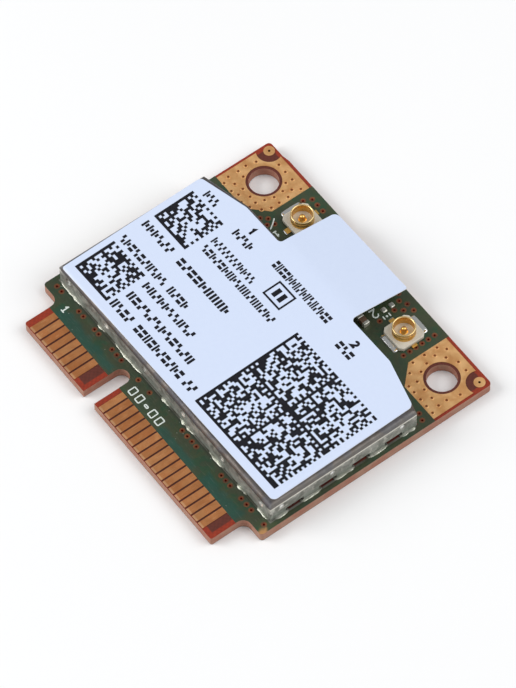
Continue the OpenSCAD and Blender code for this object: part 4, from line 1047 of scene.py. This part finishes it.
class CARD_PG_shield(bpy.types.PropertyGroup):
    steel: colour("Steel", "Tinned steel of the shield", (0.56, 0.55, 0.51))
    steel_dark: colour("Steel stain", "Duller patches of the sheet", (0.17, 0.17, 0.145))
    # Painted shade on the side walls
    steel_side_shade: colour("Steel, sides", "Darker sheet of the side walls", (0.24, 0.25, 0.21))
    steel_foot: colour("Steel, foot", "Greenish silver low on the walls", (0.56, 0.62, 0.54))
    # Pale patches, and the painted highlight line under the bend
    steel_pale_and_highlight: colour("Steel, pale", "Pale patches and the line under the bend", (0.8, 0.78, 0.7))
    # Painted dark reflection along the bent edge
    bend_reflection: colour("Bend", "Darker band along the bent edge", (0.09, 0.073, 0.065))
    bend_reflection_mottled: colour("Bend, mottled", "Mottling of that band", (0.085, 0.08, 0.09))
    # Red-brown copper, darkened as painted shade in the windows
    window: colour("Windows", "Red-brown copper and flux in the windows", (0.17, 0.03, 0.02))
    land: colour("Land", "Thinly tinned land outside the lid", (0.07, 0.075, 0.05))
    solder: colour("Solder", "Clean solder", (0.37, 0.37, 0.32))
    # Bright solder, and the painted highlight along a joint's foot
    bright_solder_and_highlight: colour("Solder edge", "Thin bright edge of the solder", (0.85, 0.83, 0.74))
    flux: colour("Flux", "Flux in the hollows of the solder", (0.27, 0.29, 0.22))
    joint_reach: length("Joint reach", "How far a joint spreads from the lid", 0.24, 0.1, 0.4)
    joint_rise: length("Joint rise", "How high a joint climbs up the lid", 0.26, 0.1, 0.5)


class CARD_PG_label(bpy.types.PropertyGroup):
    paper: colour("Face", "Face of the label", (0.63, 0.71, 0.885))
    paper_shade: colour("Face, shaded", "Slightly darker face", (0.61, 0.69, 0.87))
    paper_edge: colour("Cut edge", "White core at the cut edge", (0.85, 0.86, 0.88))
    ink: colour("Ink", "Printed ink", (0.006, 0.006, 0.009))
    ink_worn: colour("Ink, worn", "Thinner ink", (0.014, 0.014, 0.02))
    edge_round: length("Edge", "Rounding of the label's edge", 0.015, 0.0, 0.03)
    seed: IntProperty(name="Pattern", description="Seed of the printed pattern", default=7, min=0)


class CARD_PG_sockets(bpy.types.PropertyGroup):
    gold: colour("Gold", "Plated shell and pin", (0.74, 0.47, 0.15))
    gold_deep: colour("Gold, deep", "Browner gold", (0.74, 0.43, 0.1))
    gold_bright: colour("Gold, bright", "Rubbed gold on the rim", (0.95, 0.74, 0.38))
    plastic: colour("Base", "Moulded base", (0.694, 0.65, 0.56))
    plastic_shade: colour("Base, shaded", "Slightly darker plastic", (0.582, 0.538, 0.448))


class CARD_PG_chips(bpy.types.PropertyGroup):
    plastic: colour("Chip", "Moulded chip body", (0.018, 0.018, 0.02))
    capacitor: colour("Capacitor", "Capacitor ceramic", (0.15, 0.085, 0.05))
    filter: colour("Filter", "Radio filter ceramic", (0.5, 0.52, 0.5))


class CARD_PG_studio(bpy.types.PropertyGroup):
    floor: colour("Floor", "Floor", (0.9, 0.9, 0.9))
    surround: light("Surround", "Strength of the light from all round", 0.45)
    key: light("Key", "Power of the light overhead, in watts", 1.5)
    fill: light("Fill", "Power of the light in front, in watts", 1.55)


# Operators


class CardOperator(bpy.types.Operator):
    """Common base of the card's operators."""

    bl_options = {"REGISTER", "UNDO"}


class CARD_OT_studio(CardOperator):
    """Floor, soft lights and the camera at the photograph's angle"""

    bl_idname = "card.studio"
    bl_label = "Studio"

    def execute(self, context):
        look = context.scene.card_studio
        scene = context.scene
        scene.view_settings.view_transform = "Standard"
        make_floor(look)
        make_lights(look)
        make_camera()
        return {"FINISHED"}


def make_floor(look):
    """A level sheet under the card: Z is just below 0 on a grid of X and Y."""
    reach, count, drop = 1500, 9, 0.03
    line = np.linspace(-reach, reach, count)
    across, along = np.meshgrid(line, line)
    points = np.stack([across, along, np.full_like(across, -drop)], -1)
    mesh = bpy.data.meshes.new("floor")
    mesh.from_pydata((points.reshape(-1, 3) * MM).tolist(), [], cells(count, count).tolist())
    mesh.materials.append(floor_finish(look))
    floor = bpy.data.objects.new("floor", mesh)
    bpy.context.scene.collection.objects.link(floor)


def make_lights(look):
    """An even pale surround, a soft light overhead and one in front, both aimed at the card."""
    world = bpy.data.worlds.new("studio")
    world.use_nodes = True
    sky = world.node_tree.nodes["Background"]
    sky.inputs["Color"].default_value = (0.97, 0.985, 1.0, 1.0)
    sky.inputs["Strength"].default_value = look.surround
    bpy.context.scene.world = world
    for name, power, size, place in (
        ("key", look.key, 0.42, (0.24, 0.27, 0.38)),
        ("fill", look.fill, 0.30, (-0.22, -0.33, 0.26)),
    ):
        lamp = bpy.data.lights.new(name, "AREA")
        lamp.energy = power
        lamp.size = size
        holder = bpy.data.objects.new(name, lamp)
        holder.location = place
        holder.rotation_euler = Vector(place).to_track_quat("Z", "Y").to_euler()
        bpy.context.scene.collection.objects.link(holder)


def make_camera():
    """The camera looks along the photograph's line of sight and is rolled a little."""
    eye = Vector((0.188026, -0.130173, 0.367504))
    target = Vector((0.000157, 0.000741, 0.0005))
    roll = math.radians(-2.1556)
    forward = (target - eye).normalized()
    right = forward.cross(Vector((0, 0, 1))).normalized()
    up = right.cross(forward)
    side = right * math.cos(roll) + up * math.sin(roll)
    top = up * math.cos(roll) - right * math.sin(roll)
    data = bpy.data.cameras.new("photo camera")
    data.sensor_width = 36
    data.sensor_height = 36
    data.lens = 276.9
    data.clip_start = 0.01
    camera = bpy.data.objects.new("photo camera", data)
    rotation = Matrix((side, top, -forward)).transposed().to_4x4()
    camera.matrix_world = Matrix.Translation(eye) @ rotation
    bpy.context.scene.collection.objects.link(camera)
    bpy.context.scene.camera = camera


class CARD_OT_board(CardOperator):
    """Finishes on the laminate, mask and copper, the pad vias and the marks on the board"""

    bl_idname = "card.board"
    bl_label = "Board"

    def execute(self, context):
        look = context.scene.card_board
        varnish = varnish_finish(look)
        contact = contact_finish(look)
        copper = pad_finish(look)
        ink = silk_finish(look)
        for node, finish in (
            ("laminate_board", laminate_finish(look)), ("board_vias", via_finish(look)),
            ("solder_mask_top", varnish), ("solder_mask_bottom", varnish),
            ("edge_contacts_top", contact), ("edge_contacts_bottom", contact),
            ("mounting_pad_left", copper), ("mounting_pad_right", copper),
            ("corner_test_pads", copper), ("silkscreen", ink),
        ):
            dress(node, finish)
        make_board_marks(ink)
        make_via_rims(look, copper)
        return {"FINISHED"}


def make_via_rims(look, copper):
    """A raised rim round a shallow dish at every via of the pads: the section of rim and dish
    turned about the via, and flatter on the underside."""
    edge, rise = look.rim_radius, look.rim_height
    steps, underside = 14, -0.55
    profile = np.array([
        (0.0, -0.12), (edge - 0.04, -0.12), (edge + 0.05, -0.01), (edge + 0.04, 0.5 * rise),
        (edge + 0.02, 0.92 * rise), (edge + 0.01, rise), (edge - 0.005, 0.85 * rise),
        (edge - 0.015, 0.3 * rise), (edge - 0.025, -0.035), (edge - 0.045, -0.07), (0.0, -0.085),
    ])
    upper = turned(profile, steps)
    lower = turned(profile[::-1] * (1, underside), steps)
    for side, name, stitches in ((-1, "left", LEFT_STITCHES), (1, "right", RIGHT_STITCHES)):
        pile = Pile()
        for x, y in stitches:
            place = side * HOLE_X + x, on_board(HOLE_DEPTH) + y
            pile.add(upper, *place, COPPER_TOP)
            pile.add(lower, *place, 0.0)
        put(name + "_pad_via_rims", pile, copper)


def make_board_marks(ink):
    """Plain outlined shapes in front of the shield: each is the ring between a rectangle with
    round corners and the same one drawn in by the width of the line."""
    line, corner = 0.11, 0.13
    low, high = MASK_TOP - 0.002, MASK_TOP + 0.018
    step = 15.0
    angle = np.radians(np.arange(0, 360, step) + step / 2)
    quarter = np.floor(np.degrees(angle) / 90).astype(int)
    sign = np.array([(1, 1), (-1, 1), (-1, -1), (1, -1)])[quarter]
    ray = np.stack([np.cos(angle), np.sin(angle)], -1)
    pile = Pile()
    for middle, width, foot, top in BOARD_MARKS:
        half = np.array([width, top - foot]) / 2
        core = sign * (half - corner)
        outer, inner = core + ray * corner, core + ray * (corner - line)
        ring = np.stack([outer, outer, inner, inner], 1)
        height = np.broadcast_to([low, high, high, low], ring.shape[:2])
        points = np.concatenate([ring, height[..., None]], -1)
        surface = points.reshape(-1, 3), looped(len(angle), 4)
        pile.add(surface, middle, on_board((foot + top) / 2))
    put("board_outline_marks", pile, ink, (), 30)


class CARD_OT_shield(CardOperator):
    """Steel finish on the lid and frame, and the solder joints along their foot"""

    bl_idname = "card.shield"
    bl_label = "Shield"

    def execute(self, context):
        look = context.scene.card_shield
        dress("shield_lid", steel_finish(look))
        dress("shield_frame", frame_finish(look))
        dress("shield_land", land_finish(look))
        make_joints(look, solder_finish(look, "solder", look.solder, look.flux))
        # The spare lands and the chip parts wear this one
        solder_finish(look, "bright solder", look.bright_solder_and_highlight, look.solder)
        return {"FINISHED"}


def make_joints(look, solder):
    """Solder fillets along the lid's four walls, on the left wall as on the right one."""
    def joint(size, seed):
        return fillet(size, look.joint_reach, look.joint_rise, JOINT_UNDER, seed)

    low, high = LID_LOW - JOINT_GAP, LID_HIGH + JOINT_GAP
    pile = Pile()
    for i, (middle, size) in enumerate(FRONT_JOINTS):
        pile.add(joint(size, 10 + i), middle, low[1], MASK_TOP, 180)
        if abs(middle) + size / 2 < BACK_WALL:
            pile.add(joint(size, 40 + i), middle, high[1], MASK_TOP)
    for i, (start, end) in enumerate(SIDE_JOINTS):
        middle = on_board((start + end) / 2)
        pile.add(joint(end - start, 20 + i), high[0], middle, MASK_TOP, -90)
        pile.add(joint(end - start, 20 + i), low[0], middle, MASK_TOP, 90)
    put("shield_solder_joints", pile, solder, ("shield_solder",))


class CARD_OT_label(CardOperator):
    """The label as one thin sheet that lies on the lid and droops behind it"""

    bl_idname = "card.label"
    bl_label = "Label"

    def execute(self, context):
        look = context.scene.card_label
        pile = Pile()
        pile.add(over_bend(turn_on_board(label_sheet())))
        piece = put("label_sheet", pile, paper_finish(look), ("label",), 30)
        bevel = piece.modifiers.new("Cut edge", "BEVEL")
        bevel.width = look.edge_round * MM
        bevel.segments = 2
        bevel.limit_method = "ANGLE"
        bevel.angle_limit = math.radians(50)
        bevel.harden_normals = True
        return {"FINISHED"}


def turn_on_board(surface):
    """Turns a surface with the label about its pivot. Its Y is a depth before and after."""
    points, faces = surface
    angle = math.radians(LABEL_TURN)
    x, y = points[:, 0], points[:, 1] - LABEL_PIVOT
    placed = points.copy()
    placed[:, 0] = x * math.cos(angle) - y * math.sin(angle)
    placed[:, 1] = on_board(LABEL_PIVOT + x * math.sin(angle) + y * math.cos(angle))
    return placed, faces


def over_bend(surface):
    """Lets the label follow the lid's bent edge where it reaches past the level part.

    Past the level part a point falls by r - sqrt(r^2 - p^2), with p how far it is past and r the
    bend's radius at the point's own height.
    """
    points, faces = surface
    x, y, z = points.T
    side = np.maximum(np.abs(x) - (LID_HIGH[0] - LID_BEND), 0)
    front = np.maximum(LID_LOW[1] + LID_BEND - y, 0)
    radius = LID_BEND + np.maximum(z - LID_TOP, 0)
    past = np.minimum(np.hypot(side, front), 0.95 * radius)
    placed = points.copy()
    placed[:, 2] = z - (radius - np.sqrt(radius ** 2 - past ** 2))
    return placed, faces


def label_edge(side, shoulder, tongue, radii):
    """Half of the label's outline, from the middle of its front along side, shoulder and tongue
    to the middle of its back, with an arc of its own radius at each corner."""
    turns = ((side, LABEL_FRONT), (side, LABEL_SIDE_END), (shoulder, LABEL_SHOULDER),
             (tongue, LABEL_SHOULDER), (tongue, LABEL_BACK))
    corners = [(*turn, radius) for turn, radius in zip(turns, radii)]
    return chain([(0, LABEL_FRONT, 0), *corners, (0, LABEL_BACK, 0)])[1:-1]


def label_sheet():
    """The label from its two long edges.

    Each edge is X as a function of depth. A row runs from edge to edge at one depth, and the
    height of a row is level on the lid, then an arc, then a straight fall. Rows and columns lie
    closer together where the sheet bends.
    """
    edges = [label_edge(LABEL_LEFT, -SHOULDER_X, TONGUE_LEFT, (0.15, 0.5, 1, 0.4, 0.5)),
             label_edge(LABEL_RIGHT, SHOULDER_X, TONGUE_RIGHT, (0.45, 0.55, 1, 0.4, 0.2))]
    rising = [np.maximum.accumulate(e[:, 1] + 0.001 * np.arange(len(e)) / len(e)) for e in edges]
    spans = ((LABEL_FRONT, LABEL_BACK, 30), (LABEL_FRONT, LABEL_FRONT + 0.42, 8),
             (LABEL_SHOULDER, LABEL_SHOULDER + 1.5, 12))
    depths = np.concatenate([*rising, *(np.linspace(*span) for span in spans)])
    rows = np.unique(np.round(depths, 2))
    rows = rows[(rows >= LABEL_FRONT) & (rows <= LABEL_BACK)]
    ends = [np.interp(rows, y, e[:, 0]) for y, e in zip(rising, edges)]
    share = np.concatenate([np.linspace(0, 0.016, 8), np.linspace(0.03, 1, 36)])[None]
    x = ends[0][:, None] * (1 - share) + ends[1][:, None] * share
    thick = LABEL_TOP - LID_TOP
    past = np.clip(rows - (LABEL_SHOULDER + DROOP_START), 0, None)
    top = fall(past, DROOP_RADIUS + thick) + LID_TOP + thick
    bottom = fall(past, DROOP_RADIUS) + LID_TOP
    grid = np.stack([x, np.broadcast_to(rows[:, None], x.shape)], -1)
    stack = [np.concatenate([grid, np.broadcast_to(z[:, None, None], x.shape + (1,))], -1)
             for z in (top, bottom)]
    return slab(*stack)


def fall(past, radius):
    """Change of height past where the droop starts: an arc of the radius up to the tongue's
    slope, then straight on."""
    angle = math.radians(DROOP)
    run = radius * math.sin(angle)
    arc = np.sqrt(radius ** 2 - np.minimum(past, run) ** 2) - radius
    return arc - np.clip(past - run, 0, None) * math.tan(angle)


class CARD_OT_print(CardOperator):
    """Generic print on the label: rows of plain marks, square patterns and the socket numerals"""

    bl_idname = "card.print"
    bl_label = "Print"

    def execute(self, context):
        look = context.scene.card_label
        rng = np.random.default_rng(look.seed)
        low, high = PRINT_LOW[2] - 0.004, PRINT_HIGH[2]
        pile = Pile()
        marks = [row_marks(*row, rng) for row in PRINT_ROWS]
        marks += [square_marks(*pattern, rng) for pattern in SQUARE_PATTERNS]
        marks.append(frame_marks(*BAR_FRAME))
        for rectangles in marks:
            pile.add(turn_on_board(bars(rectangles, low, high)))
        strokes = ((ONE_STEM, ONE_PLACE), (ONE_FOOT, ONE_PLACE), (two_curve(), TWO_PLACE))
        for stroke, (x, foot, size) in strokes:
            path = np.array(stroke) * (size - NUMERAL_LINE) + (x, foot + NUMERAL_LINE / 2)
            pile.add(turn_on_board(ribbon(path, NUMERAL_LINE, low, high)))
        put("label_print_marks", pile, ink_finish(look), ("label_print",), 30)
        return {"FINISHED"}


# Numerals, one unit high on their foot
ONE_STEM = ((-0.3, 0.72), (0.0, 1.0), (0.0, 0.0))
ONE_FOOT = ((-0.22, 0.0), (0.22, 0.0))


def two_curve():
    """A 2: an arc over the top, a straight slope down to the left, and the foot."""
    angle = np.radians(np.linspace(165, -35, 14))
    arc = np.stack([0.3 * np.cos(angle), 0.7 + 0.3 * np.sin(angle)], -1)
    return np.concatenate([arc, [(-0.3, 0.0), (0.34, 0.0)]])


def row_marks(left, right, low, high, count, rng):
    """One row of plain marks: in each of its cells a pair of bars, dashes or squares.

    Each kind of mark is two rectangles in shares of the cell, picked by a seeded number.
    """
    kinds = np.array([
        [(0.04, 0, 0.36, 1), (0.52, 0, 0.84, 1)],
        [(0.04, 0.02, 0.84, 0.4), (0.04, 0.6, 0.84, 0.98)],
        [(0.04, 0, 0.46, 0.46), (0.42, 0.48, 0.84, 1)],
        [(0.04, 0.52, 0.46, 1), (0.44, 0, 0.84, 0.48)],
        [(0.04, 0, 0.36, 1), (0.46, 0.26, 0.84, 0.74)],
    ])
    pick = kinds[rng.integers(0, len(kinds), count)]
    cell = (right - left) / count
    start = left + cell * np.arange(count)[:, None, None]
    marks = np.empty_like(pick)
    marks[..., 0::2] = start + pick[..., 0::2] * cell
    marks[..., 1::2] = low + pick[..., 1::2] * (high - low)
    return marks.reshape(-1, 4)


def square_marks(left, low, right, high, size, blocks, rng):
    """A generic square pattern of dark cells, in square blocks of so many cells.

    In each block the left column and the front row are solid, the right column and the back
    row alternate, and the rest is dark where a seeded number is below a half. Neighbours in a
    row become one bar, and the ink spreads by a hair, so that rows join.
    """
    count = blocks * size
    dark = rng.random((blocks, size, blocks, size)) < 0.5
    step = np.arange(size) % 2 == 0
    dark[:, -1, :, :] = step
    dark[:, :, :, -1] = ~step[None, :, None]
    dark[:, :, :, 0] = True
    dark[:, 0, :, :] = True
    dark = dark.reshape(count, count)
    x = np.linspace(left, right, count + 1)
    y = np.linspace(low, high, count + 1)
    change = np.diff(np.pad(dark, ((0, 0), (1, 1))).astype(int), axis=1)
    row, first = np.nonzero(change == 1)
    last = np.nonzero(change == -1)[1]
    spread = 0.003
    runs = np.stack([x[first], y[row], x[last], y[row + 1]], -1)
    return runs + (-spread, -spread, spread, spread)


def frame_marks(left, low, right, high):
    """A square frame of four strips, which overlap a little, round two plain bars."""
    line, overlap = 0.17, 0.01
    wide, tall = right - left, high - low
    inner = low + line
    outer = high - line
    return np.array([
        (left, low, right, inner), (left, outer, right, high),
        (left, inner - overlap, left + line, outer + overlap),
        (right - line, inner - overlap, right, outer + overlap),
        (left + 0.24 * wide, low + 0.26 * tall, left + 0.44 * wide, high - 0.26 * tall),
        (right - 0.44 * wide, low + 0.26 * tall, right - 0.24 * wide, high - 0.26 * tall),
    ])


class CARD_OT_sockets(CardOperator):
    """Both antenna sockets, and the soldered parts beside the right one"""

    bl_idname = "card.sockets"
    bl_label = "Antenna sockets"

    def execute(self, context):
        look = context.scene.card_sockets
        gold = gold_finish(look)
        cream = moulding_finish("socket plastic", look.plastic, look.plastic_shade, 10.0, 0.42)
        solder = bpy.data.materials["solder"]
        for side, name, turn in ((-1, "left", 90), (1, "right", 0)):
            spot = (side * SOCKET_X, on_board(SOCKET_DEPTH), MASK_TOP, turn)
            for part, material, slot, surfaces in (
                ("base", cream, "socket_plastic", base_surfaces()),
                ("shell", gold, "socket_gold", shell_surfaces()),
                ("contact", gold, "socket_gold", pin_surfaces()),
                ("solder", solder, "solder", socket_solder_surfaces(side)),
            ):
                pile = Pile()
                for surface in surfaces:
                    pile.add(surface, *spot)
                label = f"{name}_antenna_{part}"
                put(label, pile, material, (f"{name}_socket_{part}",), 40)
        make_side_parts(bpy.data.materials["bright solder"])
        return {"FINISHED"}


def base_surfaces():
    """The base: a square with cut corners, stacked with a draft and a rounded upper edge."""
    half, cut = 1.325, 0.32
    outline = [(-half + cut, -half), (half - cut, -half), (half, -half + cut), (half, half - cut),
               (half - cut, half), (-half + cut, half), (-half, half - cut), (-half, -half + cut)]
    levels = [(0.03, 0), (0, 0.04), (0.005, 0.33), (0.02, 0.375), (0.05, 0.395), (0.09, 0.4)]
    return [stacked(outline, levels)]


def shell_surfaces():
    """The shell: a turned profile with a flared foot, a snap groove and a rolled rim, and two
    flat legs whose rows run outwards from under it."""
    profile = [(1.06, 0.18), (1.05, 0.2), (1.0, 0.4), (1.0, 0.7), (0.985, 0.73), (0.95, 0.79),
               (0.95, 0.81), (0.985, 0.87), (1.0, 0.9), (1.0, 1.16), (0.995, 1.2), (0.975, 1.235),
               (0.945, 1.25), (0.91, 1.245), (0.88, 1.22), (0.855, 1.18), (0.84, 1.12),
               (0.84, 0.18)]
    surfaces = [turned(profile, 72)]
    top = np.array([0.12, 0.12, 0.12, 0.12, 0.1])
    x, y = np.meshgrid([-0.9, -0.88, 0.0, 0.88, 0.9], [0.95, 1.3, 1.42, 1.6, 1.625])
    upper = np.stack([x, y, np.broadcast_to(top[:, None], x.shape)], -1)
    points, faces = slab(upper, upper * (1, 1, 0))
    for side in (-1, 1):
        surfaces.append((points * (side, side, 1), faces))
    return surfaces


def pin_surfaces():
    """The contact: a turned pin with a round tip and a flared foot, and the two ends of its flat
    strip."""
    angle = np.linspace(0, np.pi / 2, 9)
    tip = np.stack([0.24 * np.cos(angle), 0.79 + 0.24 * np.sin(angle)], -1)
    profile = np.concatenate([
        [(0.0, 0.3), (0.34, 0.3), (0.34, 0.4), (0.31, 0.42), (0.26, 0.44), (0.24, 0.5)], tip
    ])
    strip = bars([(-1.745, -0.25, -1.32, 0.25), (1.32, -0.25, 1.585, 0.25)], 0.0, 0.12)
    return [turned(profile, 40), strip]


def socket_solder_surfaces(side):
    """Solder over both ground legs and on the signal tab, as cushions with a rippled crest."""
    surfaces = []
    for turn in (0, 180):
        points, faces = dome(width=2.0, length=0.62, rise=0.14, power=4.0)
        points[:, 2] *= 1 + 0.2 * ripple(points[:, 0] * 3, 60 + turn + side)
        points[:, 1] += 1.5
        sign = 1 if turn == 0 else -1
        surfaces.append((points * (sign, sign, 1), faces))
    points, faces = dome(width=0.34, length=0.56, rise=0.1, power=2.4)
    points[:, 0] -= 1.7
    surfaces.append((points, faces))
    return surfaces


def make_side_parts(solder):
    """The two tinned lands and the chip capacitor beside the right socket."""
    cushion = dome(width=0.5, length=0.46, rise=0.08, power=5.0)
    pile = Pile()
    for depth in SPARE_LAND_DEPTHS:
        pile.add(cushion, SPARE_LAND_X, on_board(depth), SPARE_LAND_FOOT)
    put("spare_land_solder", pile, solder, ("spare_lands",), 50)
    look = bpy.context.scene.card_chips
    shade = scaled(look.capacitor, 0.75)
    brown = moulding_finish("capacitor ceramic", look.capacitor, shade, 12.0, 0.45)
    softened("side_capacitor_body", "side_capacitor_ceramic", brown, "capacitor_ceramic", 0.03)
    softened("side_capacitor_ends", "side_capacitor_caps", solder, "solder", 0.06, 3)


class CARD_OT_chips(CardOperator):
    """Chips and chip parts under the shield"""

    bl_idname = "card.chips"
    bl_label = "Parts under the shield"

    def execute(self, context):
        look = context.scene.card_chips
        solder = bpy.data.materials["bright solder"]
        shade = scaled(look.plastic, 1.8)
        black = (moulding_finish("chip plastic", look.plastic, shade, 9.0, 0.45), "chip_plastic")
        shade = scaled(look.filter, 0.85)
        pale = (moulding_finish("filter ceramic", look.filter, shade, 9.0, 0.4), "filter_ceramic")
        brown = (bpy.data.materials["capacitor ceramic"], "capacitor_ceramic")
        steel = (bpy.data.materials["shield steel"], "shield_steel")
        tinned = (solder, "solder")
        for node, name, finish, radius in (
            ("radio_chip", "radio_chip_body", black, 0.06),
            ("front_end_modules", "front_end_bodies", black, 0.05),
            ("memory_chip", "memory_chip_body", black, 0.05),
            ("regulator_chip", "regulator_chip_body", black, 0.05),
            ("resistor_bodies", "resistor_body_coats", black, 0.03),
            ("power_inductor", "power_inductor_core", black, 0.06),
            ("crystal", "crystal_can", steel, 0.08),
            ("bulk_capacitor_bodies", "bulk_capacitor_ceramics", brown, 0.06),
            ("decoupling_capacitor_bodies", "decoupling_ceramics", brown, 0.03),
            ("filter_bodies", "filter_ceramics", pale, 0.03),
            ("bulk_capacitor_ends", "bulk_capacitor_caps", tinned, 0.06),
            ("decoupling_capacitor_ends", "decoupling_caps", tinned, 0.04),
            ("resistor_ends", "resistor_caps", tinned, 0.04),
            ("filter_ends", "filter_caps", tinned, 0.04),
        ):
            softened(node, name, *finish, radius)
        for node in ("radio_chip_leads", "front_end_leads", "memory_chip_leads"):
            dress(node, solder)
        return {"FINISHED"}


class CARD_PT_panel(bpy.types.Panel):
    """Lists the card's operators and settings"""

    bl_idname = "CARD_PT_panel"
    bl_label = "Wifi card"
    bl_space_type = "VIEW_3D"
    bl_region_type = "UI"
    bl_category = "Wifi card"

    def draw(self, context):
        for operator, group, settings in STEPS:
            box = self.layout.box()
            box.operator(operator.bl_idname)
            for key in settings.__annotations__ if settings else ():
                box.prop(getattr(context.scene, group), key)


STEPS = (
    (CARD_OT_studio, "card_studio", CARD_PG_studio),
    (CARD_OT_board, "card_board", CARD_PG_board),
    (CARD_OT_shield, "card_shield", CARD_PG_shield),
    (CARD_OT_label, "card_label", CARD_PG_label),
    (CARD_OT_print, "card_label", None),
    (CARD_OT_sockets, "card_sockets", CARD_PG_sockets),
    (CARD_OT_chips, "card_chips", CARD_PG_chips),
)


def register():
    for operator, group, settings in STEPS:
        if settings:
            bpy.utils.register_class(settings)
            setattr(bpy.types.Scene, group, PointerProperty(type=settings))
        bpy.utils.register_class(operator)
    bpy.utils.register_class(CARD_PT_panel)


def unregister():
    bpy.utils.unregister_class(CARD_PT_panel)
    for operator, group, settings in reversed(STEPS):
        bpy.utils.unregister_class(operator)
        if settings:
            delattr(bpy.types.Scene, group)
            bpy.utils.unregister_class(settings)


def main():
    register()
    make_groups()
    for operator, _, _ in STEPS:
        family, name = operator.bl_idname.split(".")
        getattr(getattr(bpy.ops, family), name)()


if __name__ == "__main__":
    main()
